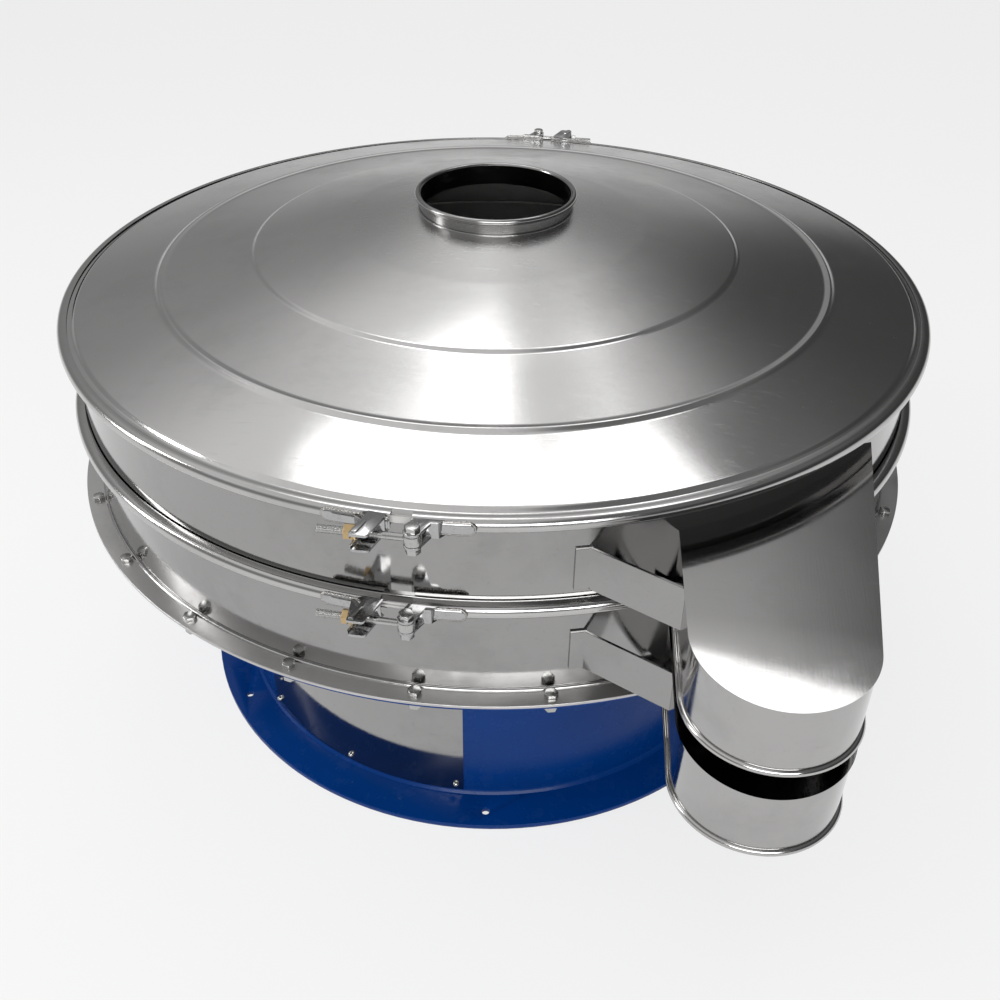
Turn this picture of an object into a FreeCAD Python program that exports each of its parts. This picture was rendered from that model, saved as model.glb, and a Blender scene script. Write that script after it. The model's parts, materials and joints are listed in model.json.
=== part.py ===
"""Round vibrating sieve with one screen deck and two tangential outlets.

Millimetres, +Z up.  The origin is on the floor, on the machine's vertical axis.
The front, where the clamp rings close and the outlets point, faces -Y.
"""
import FreeCAD, Part
import math
import os
import re
import Sketcher
from FreeCAD import Placement, Rotation, Vector

doc = FreeCAD.newDocument("vibrating_sieve")
sheet = doc.addObject("Spreadsheet::Sheet", "Sizes")

SIZES = {
    # sieve walls and lid
    "wall_radius": 732, "wall_gauge": 2, "rim_width": 13, "rim_gauge": 2,
    "lower_wall_height": 161, "upper_wall_height": 145,
    "lid_gauge": 2, "lid_edge_inset": 4, "lid_cone_inset": 10, "lid_edge_rise": 5,
    "lid_slope": 0.195, "lid_bead_radius": 582, "lid_bead_half_width": 6, "lid_bead_rise": 3.5,
    "lid_step_radius": 424, "lid_step_rise": 3, "lid_step_run": 6,
    "lid_crease_radius": 262, "lid_crease_rise": 1.5,
    "neck_radius": 132, "neck_gauge": 2, "neck_height": 29, "neck_skirt": 8, "neck_bead": 4,
    # clamp rings
    "ring_lip_play": 3, "ring_slack": 5, "ring_height": 18, "ring_gauge": 2,
    "ring_play": 0.4, "top_ring_gap_angle": 2.2, "mid_ring_gap_angle": 3.4, "rear_ring_gap_angle": 1.6,
    "top_closure_angle": 0, "mid_closure_angle": -1, "rear_closure_angle": 180,
    # ring closures
    "pad_gauge": 3, "pad_height": 16, "left_pad_angle": 9, "right_pad_angle": 7.3,
    "bolt_standoff": 26, "fork_pin_x": 22, "fork_pin_radius": 6, "fork_ear_gauge": 4,
    "fork_ear_half_width": 12, "fork_ear_angle": 8, "fork_ear_play": 1, "fork_web_gauge": 8,
    "pin_play": 0.05,
    "eye_radius": 12, "eye_height": 14, "shank_radius": 5, "shank_length": 142,
    "saddle_left_x": -67.7, "saddle_width": 43.7, "saddle_gauge": 4, "saddle_inner_height": 20,
    "saddle_overhang": 23, "saddle_web_gauge": 8, "saddle_corner": 6, "slot_play": 1,
    "draw_nut_length": 16, "draw_nut_flats": 19, "draw_nut_play": 0.3,
    "tab_length": 24, "tab_width": 13, "tab_gauge": 2.5,
    # screen deck
    "gasket_gauge": 3.2, "screen_play": 3, "screen_tube_width": 29, "screen_tube_height": 24,
    "screen_tube_gauge": 2, "mesh_gauge": 0.8, "deck_gauge": 2, "deck_hole_radius": 20,
    "deck_hole_inset": 138, "deck_holes": 12, "ball_radius": 10, "ball_circle": 400, "balls": 8,
    "ball_play": 0.3,
    # lower frame's flange and its bolts
    "flange_width": 33, "flange_gauge": 5, "flange_bolts": 24, "flange_bolt_offset": 15,
    "flange_bolt_angle": 0.5, "dome_rim_height": 14, "dome_rise": 62, "dome_gauge": 2,
    "dome_shoulder_inset": 182, "dome_shoulder_drop": 31, "dome_crown_inset": 438, "dome_crown_drop": 7.5,
    "bolt_radius": 6, "bolt_flats": 18, "bolt_head": 7.5, "bolt_crown_inset": 0.5, "nut_height": 10,
    "bolt_play": 0.5, "bolt_tail": 3,
    # outlets
    "spout_inset": 252, "spout_reach": 98, "spout_end_radius": 110, "spout_taper_angle": 4.5,
    "spout_gauge": 2, "spout_lip": 3, "spout_bead": 5, "spout_run": 520,
    "upper_spout_drop": 49, "lower_spout_drop": 51, "spout_depth": 110, "ring_clearance": 2,
    "head_clearance": 4.5, "upper_step_clearance": 16, "lower_step_clearance": 3,
    # struts
    "strut_height": 69, "strut_gauge": 4, "strut_tab": 24, "strut_drop": 1, "strut_angle": 18.4,
    "strut_lean_angle": 45,
    # table, springs and motor
    "table_setback": 7, "table_gauge": 10, "table_web_gauge": 6, "table_land": 47,
    "spring_inset": 48, "springs": 6, "spring_radius": 32, "spring_wire": 5, "spring_turns": 4,
    "spring_space": 143, "seat_gauge": 4, "seat_height": 12, "seat_play": 0.5,
    "motor_radius": 135, "motor_gauge": 10, "motor_height": 221, "motor_flange_width": 65,
    "motor_flange_gauge": 12, "motor_bolt_offset": 37, "motor_bolts": 8,
    "shaft_radius": 20, "shaft_play": 0.05, "shaft_tail": 8, "shaft_nose": 4,
    "bearing_radius": 45, "bearing_width": 23, "stator_inner_radius": 80, "rotor_air_gap": 1,
    "core_height": 120, "core_lift": 48, "cap_radius": 70, "cap_gauge": 6,
    "weight_radius": 118, "weight_gauge": 30, "weight_gap": 8, "upper_weight_gap": 9,
    "weight_hub_radius": 36, "box_width": 90, "box_height": 80, "box_depth": 45,
    # base
    "drum_radius": 518, "drum_gauge": 6, "drum_height": 320, "foot_width": 74, "foot_inset": 48,
    "foot_gauge": 10, "anchor_offset": 41.5, "anchors": 6, "anchor_radius": 7, "anchor_angle": 8,
    "weld_leg": 7, "base_ring_inset": 93, "base_ring_gauge": 10,
    "panel_gauge": 2, "panel_start_angle": -46.6, "panel_end_angle": 3.4, "panel_foot_gap": 7.5,
    "panel_head_gap": 12, "panel_lap": 24, "screw_radius": 6, "screw_inset": 14,
}

LINKS = {
    # heights, from the floor up
    "drum_top_z": "foot_gauge + drum_height",
    "seat_z": "drum_top_z + base_ring_gauge",
    "table_under_z": "seat_z + spring_space",
    "table_top_z": "table_under_z + table_gauge",
    "flange_top_z": "table_top_z + flange_gauge",
    "mid_joint_z": "flange_top_z + lower_wall_height",
    "top_joint_z": "mid_joint_z + upper_wall_height",
    "half_stack": "ring_height / 2 - ring_gauge - ring_play",
    "motor_bottom_z": "table_under_z - motor_height",
    "core_z": "motor_bottom_z + core_lift",
    "upper_weight_z": "table_top_z + upper_weight_gap",
    "lower_weight_z": "motor_bottom_z - cap_gauge - weight_gap - weight_gauge",
    "upper_spout_top_z": "top_joint_z - upper_spout_drop",
    "upper_spout_mouth_z": "upper_spout_top_z - spout_depth",
    "upper_spout_floor_z": "mid_joint_z + ring_height / 2 + ring_clearance + spout_gauge",
    "lower_spout_top_z": "mid_joint_z - lower_spout_drop",
    "lower_spout_mouth_z": "lower_spout_top_z - spout_depth",
    "lower_spout_floor_z": "flange_top_z + bolt_head + head_clearance + spout_gauge",
    "panel_bottom_z": "foot_gauge + panel_foot_gap",
    "panel_top_z": "drum_top_z - panel_head_gap",
    # radii, from the wall out and in
    "wall_inside": "wall_radius - wall_gauge",
    "rim_radius": "wall_radius + rim_width",
    "ring_lip_radius": "wall_radius + ring_lip_play",
    "ring_inside": "rim_radius + ring_slack",
    "ring_radius": "ring_inside + ring_gauge",
    "pad_radius": "ring_radius + pad_gauge",
    "bolt_axis_radius": "ring_radius + bolt_standoff",
    "saddle_reach": "bolt_axis_radius + saddle_overhang",
    "saddle_right_x": "saddle_left_x + saddle_width",
    "lid_edge_radius": "wall_radius - lid_edge_inset",
    "lid_cone_radius": "wall_radius - lid_cone_inset",
    "flange_radius": "wall_radius + flange_width",
    "flange_bolt_circle": "wall_radius + flange_bolt_offset",
    "table_radius": "flange_radius - table_setback",
    "table_web_radius": "flange_bolt_circle - table_land",
    "screen_outer_radius": "wall_inside - screen_play",
    "screen_inner_radius": "screen_outer_radius - screen_tube_width",
    "spout_x": "wall_radius - spout_inset",
    "spout_y": "0 - wall_radius - spout_reach",
    "upper_step_radius": "ring_radius + upper_step_clearance",
    "lower_step_radius": "flange_radius + lower_step_clearance",
    "motor_flange_radius": "motor_radius + motor_flange_width",
    "motor_bolt_circle": "motor_radius + motor_bolt_offset",
    "spring_circle": "drum_radius - spring_inset",
    "foot_radius": "drum_radius + foot_width",
    "foot_inner_radius": "drum_radius - foot_inset",
    "anchor_circle": "drum_radius + anchor_offset",
    "base_ring_inner_radius": "drum_radius - base_ring_inset",
}

for row, (alias, number) in enumerate(SIZES.items(), start=1):
    sheet.set(f"A{row}", alias.replace("_", " "))
    sheet.set(f"B{row}", str(number))
    sheet.setAlias(f"B{row}", alias)
doc.recompute()

PARTS = []


def bound(expression):
    """The expression with every linked size written out and every size pointing at its cell."""
    def cell(match):
        word = match[0]
        if word in LINKS:
            return f"({bound(LINKS[word])})"
        return f"Sizes.{word}" if word in SIZES else word

    return re.sub(r"[a-z_]{3,}", cell, expression)


def number(expression):
    """The value that an expression of size names has now."""
    result = sheet.evalExpression(bound(str(expression)))
    return float(getattr(result, "Value", result))


def bind(target, **expressions):
    """Bind each named property of an object to an expression of size names."""
    for prop, expression in expressions.items():
        target.setExpression(prop.replace("__", "."), bound(str(expression)))
    return target


def keep(target, label):
    """Give a finished sub-part the label that names its file."""
    target.Label = label
    PARTS.append(target)
    return target


def new_body(name):
    return doc.addObject("PartDesign::Body", name)


def origin_plane(body, role):
    return next(f for f in body.Origin.OriginFeatures if f.Role == role)


def sketch_on(body, name, plane, height="0"):
    sketch = body.newObject("Sketcher::SketchObject", name)
    sketch.AttachmentSupport = (origin_plane(body, plane), [""])
    sketch.MapMode = "FlatFace"
    bind(sketch, AttachmentOffset__Base__z=height)
    return sketch


def pin_point(sketch, edge, end, across, along):
    """Fix one end of a sketch edge at two expressions of size names."""
    for kind, expression in (("DistanceX", across), ("DistanceY", along)):
        index = sketch.addConstraint(Sketcher.Constraint(kind, -1, 1, edge, end, number(expression)))
        sketch.setExpression(f"Constraints[{index}]", bound(str(expression)))


def outline(sketch, corners):
    """A closed outline of straight edges through corners given as expression pairs."""
    points = [Vector(number(x), number(y), 0) for x, y in corners]
    first = sketch.GeometryCount
    count = len(points)
    for step in range(count):
        sketch.addGeometry(Part.LineSegment(points[step], points[(step + 1) % count]), False)
    for step, (across, along) in enumerate(corners):
        after = first + (step + 1) % count
        sketch.addConstraint(Sketcher.Constraint("Coincident", first + step, 2, after, 1))
        pin_point(sketch, first + step, 1, across, along)


def circle(sketch, across, along, radius):
    spot = Vector(number(across), number(along), 0)
    edge = sketch.addGeometry(Part.Circle(spot, Vector(0, 0, 1), number(radius)), False)
    pin_point(sketch, edge, 3, across, along)
    index = sketch.addConstraint(Sketcher.Constraint("Radius", edge, number(radius)))
    sketch.setExpression(f"Constraints[{index}]", bound(str(radius)))


def rounded_box(low_x, low_y, high_x, high_y, radius):
    """Returns a function that draws a rectangle with rounded corners."""
    left, right = f"{low_x} + {radius}", f"{high_x} - {radius}"
    front, back = f"{low_y} + {radius}", f"{high_y} - {radius}"
    middles = [(right, front), (right, back), (left, back), (left, front)]
    sides = [((left, low_y), (right, low_y)), ((high_x, front), (high_x, back)),
             ((right, high_y), (left, high_y)), ((low_x, back), (low_x, front))]

    def draw(sketch):
        for first, last in sides:
            spots = [Vector(number(x), number(y), 0) for x, y in (first, last)]
            sketch.addGeometry(Part.LineSegment(*spots), False)
        for corner, (x, y) in enumerate(middles):
            round_edge = Part.Circle(Vector(number(x), number(y), 0), Vector(0, 0, 1), number(radius))
            turn = (corner - 1) * math.pi / 2
            arc = sketch.addGeometry(Part.ArcOfCircle(round_edge, turn, turn + math.pi / 2), False)
            sketch.addConstraint(Sketcher.Constraint("Coincident", corner, 2, arc, 1))
            sketch.addConstraint(Sketcher.Constraint("Coincident", arc, 2, (corner + 1) % 4, 1))
            index = sketch.addConstraint(Sketcher.Constraint("Radius", arc, number(radius)))
            sketch.setExpression(f"Constraints[{index}]", bound(radius))
        for side, (first, last) in enumerate(sides):
            pin_point(sketch, side, 1, *first)
            pin_point(sketch, side, 2, *last)

    return draw


def revolve(body, name, corners, angle="360"):
    """Turn an outline given in radius and height about the machine's axis."""
    sketch = sketch_on(body, name + "_profile", "XZ_Plane")
    outline(sketch, corners)
    turned = body.newObject("PartDesign::Revolution", name)
    turned.Profile = sketch
    turned.ReferenceAxis = (sketch, ["V_Axis"])
    turned.Midplane = True
    return bind(turned, Angle=angle)


def pad(body, name, draw, bottom, length):
    """Raise what draw() puts in a level sketch from a bottom height by a length."""
    sketch = sketch_on(body, name + "_sketch", "XY_Plane", bottom)
    draw(sketch)
    raised = body.newObject("PartDesign::Pad", name)
    raised.Profile = sketch
    return bind(raised, Length=length)


def pocket(body, name, draw, bottom, length):
    """Cut what draw() puts in a level sketch upwards from a bottom height."""
    sketch = sketch_on(body, name + "_sketch", "XY_Plane", bottom)
    draw(sketch)
    cut = body.newObject("PartDesign::Pocket", name)
    cut.Profile = sketch
    cut.Reversed = True
    return bind(cut, Length=length)


def round_pattern(body, name, original, count):
    pattern = body.newObject("PartDesign::PolarPattern", name)
    pattern.Originals = [original]
    pattern.Axis = (original.Profile[0], ["N_Axis"])
    bind(pattern, Angle="360", Occurrences=count)
    body.Tip = pattern
    return pattern


UP = Vector(0, 0, 1)
ACROSS = Vector(1, 0, 0)
ALONG = Vector(0, 1, 0)


def place(target, across="0", along="0", height="0", turn="0", axis=UP):
    """Bind a placement: a point, and a turn in degrees about an axis."""
    target.Placement = Placement(Vector(), Rotation(axis, 90))
    bind(target, Placement__Base__x=across, Placement__Base__y=along, Placement__Base__z=height)
    target.setExpression("Placement.Rotation.Angle", bound(str(turn)))
    return target


def solid(kind, name, **expressions):
    """A Part primitive with its sizes bound."""
    return bind(doc.addObject("Part::" + kind, name), **expressions)


def joined(name, shapes):
    fuse = doc.addObject("Part::MultiFuse", name)
    fuse.Shapes = shapes
    return fuse


def minus(name, base, tool):
    cut = doc.addObject("Part::Cut", name)
    cut.Base = base
    cut.Tool = tool
    return cut


def upright(name, radius, bottom, height, across="0", along="0"):
    """A vertical cylinder."""
    rod = solid("Cylinder", name, Radius=radius, Height=height)
    return place(rod, across, along, bottom)


def block(name, low, high):
    """A box between two corners given as expression triples."""
    sides = [f"({top}) - ({bottom})" for bottom, top in zip(low, high)]
    brick = solid("Box", name, Length=sides[0], Width=sides[1], Height=sides[2])
    return place(brick, *low)


def copies(label, one, count, start="0"):
    """Loose copies of one solid round the machine's axis, kept as one node."""
    doc.recompute()
    ring = doc.addObject("Part::Feature", label)
    turns = [number(start) + 360 * step / int(number(count)) for step in range(int(number(count)))]
    ring.Shape = Part.makeCompound([one.Shape.rotated(Vector(), UP, turn) for turn in turns])
    return keep(ring, label)


# --- sieve walls, lid and clamp rings -------------------------------------------------------------

def tongue(across, along, radius, run, taper):
    """Returns a function that draws a strip with a round end towards -Y.

    The round end is centred at (across, along).  The sides run back from it by the run,
    spreading by the taper angle.
    """
    right_x = f"{across} + {radius} * cos({taper})"
    left_x = f"{across} - {radius} * cos({taper})"
    front_y = f"{along} - {radius} * sin({taper})"
    spread = f"{run} * sin({taper})"
    back_y = f"{front_y} + {run} * cos({taper})"

    def draw(sketch):
        corners = [(left_x, front_y), (f"{left_x} - {spread}", back_y), (f"{right_x} + {spread}", back_y),
                   (right_x, front_y)]
        spots = [Vector(number(x), number(y), 0) for x, y in corners]
        for first, second in zip(spots, spots[1:]):
            sketch.addGeometry(Part.LineSegment(first, second), False)
        tip = Vector(number(across), number(f"{along} - {radius}"), 0)
        arc = sketch.addGeometry(Part.Arc(spots[0], tip, spots[-1]), False)
        for edge in (0, 1):
            sketch.addConstraint(Sketcher.Constraint("Coincident", edge, 2, edge + 1, 1))
        sketch.addConstraint(Sketcher.Constraint("Coincident", arc, 1, 0, 1))
        sketch.addConstraint(Sketcher.Constraint("Coincident", arc, 2, 2, 2))
        for edge, (side, depth) in enumerate(corners[:3]):
            pin_point(sketch, edge, 1, side, depth)
        pin_point(sketch, 2, 2, *corners[3])
        index = sketch.addConstraint(Sketcher.Constraint("Radius", arc, number(radius)))
        sketch.setExpression(f"Constraints[{index}]", bound(radius))

    return draw


def spout_sketch(inset):
    """Draws a spout's plan, inset all round; its sides end well inside the sieve wall."""
    radius = f"(spout_end_radius - ({inset}))"
    return tongue("spout_x", "spout_y", radius, "spout_run", "spout_taper_angle")


def lower_frame():
    """Rolled wall with a rim for the clamp ring, a bolting flange and the outlet's opening."""
    body = new_body("LowerFrame")
    inner = "wall_inside"
    rim_top = "mid_joint_z - half_stack + rim_gauge"
    revolve(body, "Wall", [
        (inner, "table_top_z"), ("flange_radius", "table_top_z"), ("flange_radius", "flange_top_z"),
        ("wall_radius", "flange_top_z"), ("wall_radius", f"{rim_top} - rim_gauge"),
        ("rim_radius", f"{rim_top} - rim_gauge"), ("rim_radius", rim_top), (inner, rim_top)])
    pocket(body, "Opening", spout_sketch("spout_gauge"), "lower_spout_floor_z",
           "lower_spout_top_z - spout_gauge - lower_spout_floor_z")
    holes = pocket(body, "BoltHoles", bolt_hole, "table_top_z", "flange_gauge")
    round_pattern(body, "BoltHolePattern", holes, "flange_bolts")
    return keep(body, "lower_frame")


def bolt_hole(sketch):
    angle = "(flange_bolt_angle - 90)"
    circle(sketch, f"flange_bolt_circle * cos({angle})", f"flange_bolt_circle * sin({angle})",
           "bolt_radius + bolt_play")


def upper_frame():
    """Rolled wall with a rim at each end and the outlet's opening."""
    body = new_body("UpperFrame")
    inner = "wall_inside"
    low = "mid_joint_z + half_stack - rim_gauge"
    high = "top_joint_z - half_stack + rim_gauge"
    revolve(body, "Wall", [
        (inner, low), ("rim_radius", low), ("rim_radius", f"{low} + rim_gauge"),
        ("wall_radius", f"{low} + rim_gauge"), ("wall_radius", f"{high} - rim_gauge"),
        ("rim_radius", f"{high} - rim_gauge"), ("rim_radius", high), (inner, high)])
    pocket(body, "Opening", spout_sketch("spout_gauge"), "upper_spout_floor_z",
           "upper_spout_top_z - spout_gauge - upper_spout_floor_z")
    return keep(body, "upper_frame")


def spout_bead(name, mouth):
    """Rolled bead swept round the plan of a spout's mouth."""
    path = doc.addObject("Sketcher::SketchObject", name + "Path")
    spout_sketch("0")(path)
    place(path, height=mouth)
    section = solid("Circle", name + "Section", Radius="spout_bead")
    side_x = "spout_x - spout_end_radius * cos(spout_taper_angle)"
    side_y = "spout_y - spout_end_radius * sin(spout_taper_angle)"
    place(section, side_x, side_y, mouth, turn="90", axis=ACROSS)
    bind(section, Placement__Rotation__Axis__x="0 - cos(spout_taper_angle)",
         Placement__Rotation__Axis__y="0 - sin(spout_taper_angle)")
    bead = doc.addObject("Part::Sweep", name)
    bead.Sections = [section]
    bead.Spine = (path, ["Edge1", "Edge4", "Edge3"])
    bead.Solid = True
    return bead


def spout(label, top, mouth, floor, step_radius):
    """A tangential outlet: flat top, tapering skirt open below, beaded mouth, stepped floor."""
    name = label.title().replace("_", "")
    shell = new_body(name + "Shell")
    pad(shell, name + "Skirt", spout_sketch("0"), mouth, f"{top} - ({mouth})")
    pad(shell, name + "Lip", spout_sketch("0 - spout_lip"), f"{top} - spout_gauge", "spout_gauge")
    hollow = new_body(name + "Hollow")
    pad(hollow, name + "Space", spout_sketch("spout_gauge"), f"{mouth} - 2 * spout_bead",
        f"{top} - spout_gauge - ({mouth}) + 2 * spout_bead")
    sieve = upright(name + "Sieve", "wall_radius", "0", "top_joint_z")
    step = upright(name + "Step", step_radius, "0", f"{floor} - spout_gauge")
    inner_step = upright(name + "InnerStep", f"{step_radius} + spout_gauge", "0", floor)
    beaded = joined(name + "Beaded", [shell, spout_bead(name + "Bead", mouth)])
    outside = minus(name + "Outside", beaded, joined(name + "Clearance", [sieve, step]))
    inside = minus(name + "Inside", hollow, inner_step)
    return keep(minus(name, outside, inside), label)


def strut(label, bottom):
    """Flat bent bar from a tab on the wall to the side of an outlet."""
    name = label.title().replace("_", "")
    tab = solid("Box", name + "Tab", Length="strut_tab", Width="strut_gauge", Height="strut_height")
    place(tab, "0 - strut_tab / 2", "0 - wall_radius - strut_gauge", bottom)
    bar = solid("Box", name + "Bar", Length="2 * spout_end_radius", Width="strut_gauge",
                Height="strut_height")
    place(bar, "strut_tab / 2 - strut_gauge", "0 - wall_radius - strut_gauge", bottom,
          "0 - strut_lean_angle")
    bent = joined(name + "Bent", [tab, bar])
    place(bent, turn="strut_angle")
    envelope = new_body(name + "Envelope")
    pad(envelope, name + "Space", spout_sketch("0"), f"{bottom} - strut_height", "3 * strut_height")
    return keep(minus(name, bent, envelope), label)


def lid_line():
    """The lid's upper line from rim to neck, as radius and height expressions."""
    rim = "(top_joint_z + half_stack)"
    edge = f"({rim} + lid_edge_rise)"

    def cone(radius):
        return f"({edge} + (lid_cone_radius - ({radius})) * lid_slope)"

    bead_out = "(lid_bead_radius + lid_bead_half_width)"
    bead_in = "(lid_bead_radius - lid_bead_half_width)"
    step_in = "(lid_step_radius - lid_step_run)"
    return [("rim_radius", rim), ("lid_edge_radius", rim), ("lid_cone_radius", edge),
            (bead_out, cone(bead_out)), ("lid_bead_radius", f"{cone('lid_bead_radius')} + lid_bead_rise"),
            (bead_in, cone(bead_in)), ("lid_step_radius", cone("lid_step_radius")),
            (step_in, f"{cone(step_in)} + lid_step_rise"),
            ("lid_crease_radius", f"{cone('lid_crease_radius')} + lid_step_rise + lid_crease_rise"),
            ("neck_radius", f"{cone('neck_radius')} + lid_step_rise")]


def lid():
    """Spun conical lid: clamped rim, raised edge, swaged bead, step and crease."""
    body = new_body("Lid")
    upper = lid_line()
    under = [(radius, f"{height} - lid_gauge") for radius, height in reversed(upper)]
    revolve(body, "Shell", upper + under)
    return keep(body, "lid")


def feed_neck():
    """Short feed collar with a rolled bead, welded into the lid's hole."""
    body = new_body("FeedNeck")
    foot = f"{lid_line()[-1][1]} - neck_skirt"
    top = f"{lid_line()[-1][1]} + neck_height"
    bead = f"{top} - neck_bead"
    inner = "neck_radius - neck_gauge"
    revolve(body, "Collar", [
        (inner, foot), ("neck_radius", foot), ("neck_radius", f"{bead} - neck_bead"),
        ("neck_radius + neck_bead", f"{bead} - neck_bead / 2"),
        ("neck_radius + neck_bead", f"{bead} + neck_bead / 2"), ("neck_radius", top), (inner, top)])
    return keep(body, "feed_neck")


def half_ring(label, middle, side, front_gap, closure_turn):
    """Half of a clamp ring, a channel that grips the stacked rims, open towards the axis."""
    body = new_body(label.title().replace("_", ""))
    low = f"{middle} - ring_height / 2"
    high = f"{middle} + ring_height / 2"
    wall = "ring_inside"
    revolve(body, body.Name + "Channel", [
        ("ring_lip_radius", low), (wall, low), ("ring_radius", f"{low} + ring_gauge"),
        ("ring_radius", f"{high} - ring_gauge"), (wall, high), ("ring_lip_radius", high),
        ("ring_lip_radius", f"{high} - ring_gauge"), (wall, f"{high} - ring_gauge"),
        (wall, f"{low} + ring_gauge"), ("ring_lip_radius", f"{low} + ring_gauge")],
        f"180 - {front_gap} / 2 - rear_ring_gap_angle / 2")
    uneven = f"({front_gap} - rear_ring_gap_angle) / 4"
    middle_turn = uneven if side == "right" else f"180 - {uneven}"
    place(body, turn=f"{middle_turn} + {closure_turn}")
    return keep(body, label)


# --- ring closures: modelled about height 0 with the closure at -Y, then set at their ring --------

def level_rod(name, radius, start_x, length, along):
    """A cylinder lying along +X."""
    rod = solid("Cylinder", name, Radius=radius, Height=length)
    return place(rod, start_x, along, turn="90", axis=ALONG)


def rounding(name, radius, across):
    """A cylinder lying along Y through the front of the ring."""
    rod = solid("Cylinder", name, Radius=radius, Height="2 * ring_radius")
    return place(rod, across, "0", turn="90", axis=ACROSS)


def beyond_ring(name, shapes):
    """The fused shapes, trimmed to what lies outside the ring's outer face."""
    ring = upright(name + "RingFace", "ring_radius", "0 - 2 * ring_height", "4 * ring_height")
    return minus(name + "Trimmed", joined(name + "Fused", shapes), ring)


def ring_pad(name, near_x, far_x):
    """Welding plate bent to the ring, rounded at its far end."""
    half = "pad_height / 2"
    leftward = number(far_x) < 0
    end = f"{far_x} + {half}" if leftward else f"{far_x} - {half}"
    low_x, high_x = (end, near_x) if leftward else (near_x, end)
    face = block(name + "Plate", (low_x, "0 - 2 * ring_radius", f"0 - {half}"), (high_x, "0", half))
    window = joined(name + "Window", [face, rounding(name + "End", half, end)])
    band = solid("Cylinder", name + "Band", Radius="pad_radius", Height="pad_height")
    place(band, height=f"0 - {half}")
    plate = doc.addObject("Part::MultiCommon", name + "Pad")
    plate.Shapes = [band, window]
    return plate


def at_ring(piece, label, middle, closure_turn):
    """Set a closure piece at its ring's height and turn, and keep it."""
    place(piece, height=middle, turn=closure_turn)
    return keep(piece, label)


def saddle(label, middle, closure_turn, gap):
    """Left end of a closure: pad and open channel whose slotted end the draw nut pulls on."""
    name = label.title().replace("_", "")
    far = "(saddle_inner_height / 2 + saddle_gauge)"
    inner = "saddle_inner_height / 2"
    slot_half = "(shank_radius + slot_play)"
    reach = "0 - saddle_reach"
    root = "0 - ring_radius * cos(left_pad_angle)"
    web = "0 - ring_radius - saddle_web_gauge"
    end = "saddle_left_x + saddle_gauge"
    channel = new_body(name + "Channel")
    plan = rounded_box("saddle_left_x", reach, "saddle_right_x", root, "saddle_corner")
    hollow = rounded_box(end, f"{reach} - saddle_gauge", "saddle_right_x + saddle_gauge", web, "slot_play")
    slot = rounded_box("saddle_left_x - saddle_gauge", f"{reach} - saddle_gauge", f"{end} + saddle_gauge",
                       f"{slot_half} - bolt_axis_radius", "slot_play")
    tab = rounded_box(f"{end}", f"{reach} + saddle_gauge", f"{end} + tab_width",
                      f"{reach} + saddle_gauge + tab_length", "tab_gauge")
    pad(channel, name + "Plan", plan, f"0 - {far}", f"2 * {far}")
    pocket(channel, name + "Inside", hollow, f"0 - {inner}", "saddle_inner_height")
    pocket(channel, name + "Slot", slot, f"0 - {slot_half}", f"2 * {slot_half}")
    pad(channel, name + "Tab", tab, far, "tab_gauge")
    plate = ring_pad(name, f"0 - ring_radius * sin({gap} / 2)", "0 - pad_radius * sin(left_pad_angle)")
    return at_ring(beyond_ring(name, [plate, channel]), label, middle, closure_turn)


def fork(label, middle, closure_turn, gap):
    """Right end of a closure: pad and two round ears for the eye bolt's pin."""
    name = label.title().replace("_", "")
    inner = "(eye_height / 2 + fork_ear_play)"
    far = f"({inner} + fork_ear_gauge)"
    spot = ("fork_pin_x", "0 - bolt_axis_radius")
    low_x, high_x = "fork_pin_x - fork_ear_half_width", "fork_pin_x + 2 * fork_ear_half_width"
    web = "0 - ring_radius - fork_web_gauge"
    root = "0 - ring_radius * cos(right_pad_angle)"
    lug = new_body(name + "Lug")
    ears = tongue(*spot, "fork_ear_half_width", "(bolt_standoff + fork_web_gauge)", "fork_ear_angle")
    block_plan = rounded_box(low_x, web, high_x, root, "fork_ear_play")
    jaw = rounded_box(f"{low_x} - fork_ear_gauge", "0 - bolt_axis_radius - 2 * fork_ear_half_width",
                      f"{high_x} + fork_ear_gauge", web, "fork_ear_play")
    pad(lug, name + "Ears", ears, f"0 - {far}", f"2 * {far}")
    pad(lug, name + "Web", block_plan, f"0 - {far}", f"2 * {far}")
    pocket(lug, name + "Jaw", jaw, f"0 - {inner}", f"2 * {inner}")
    pocket(lug, name + "Hole", lambda sketch: circle(sketch, *spot, "fork_pin_radius + pin_play"),
           f"0 - {far}", f"2 * {far}")
    plate = ring_pad(name, f"ring_radius * sin({gap} / 2)", "pad_radius * sin(right_pad_angle)")
    return at_ring(beyond_ring(name, [plate, lug]), label, middle, closure_turn)


def hexagon(name, flats, bottom, height, across="0", along="0"):
    """An upright hexagonal prism given by its width across flats."""
    prism = solid("Prism", name, Circumradius=f"{flats} / 2 / cos(30)", Height=height)
    prism.Polygon = 6
    return place(prism, across, along, bottom)


def bolt_top(name, bottom, across="0", along="0"):
    """A bolt's hexagon head with its upper corners chamfered."""
    blank = hexagon(name + "Blank", "bolt_flats", bottom, "bolt_head", across, along)
    cone = solid("Cone", name + "Cone", Radius1="bolt_flats / 2 + 2 * bolt_head",
                 Radius2="bolt_flats / 2 - bolt_crown_inset", Height="bolt_head")
    place(cone, across, along, bottom)
    head = doc.addObject("Part::MultiCommon", name)
    head.Shapes = [blank, cone]
    return head


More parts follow.
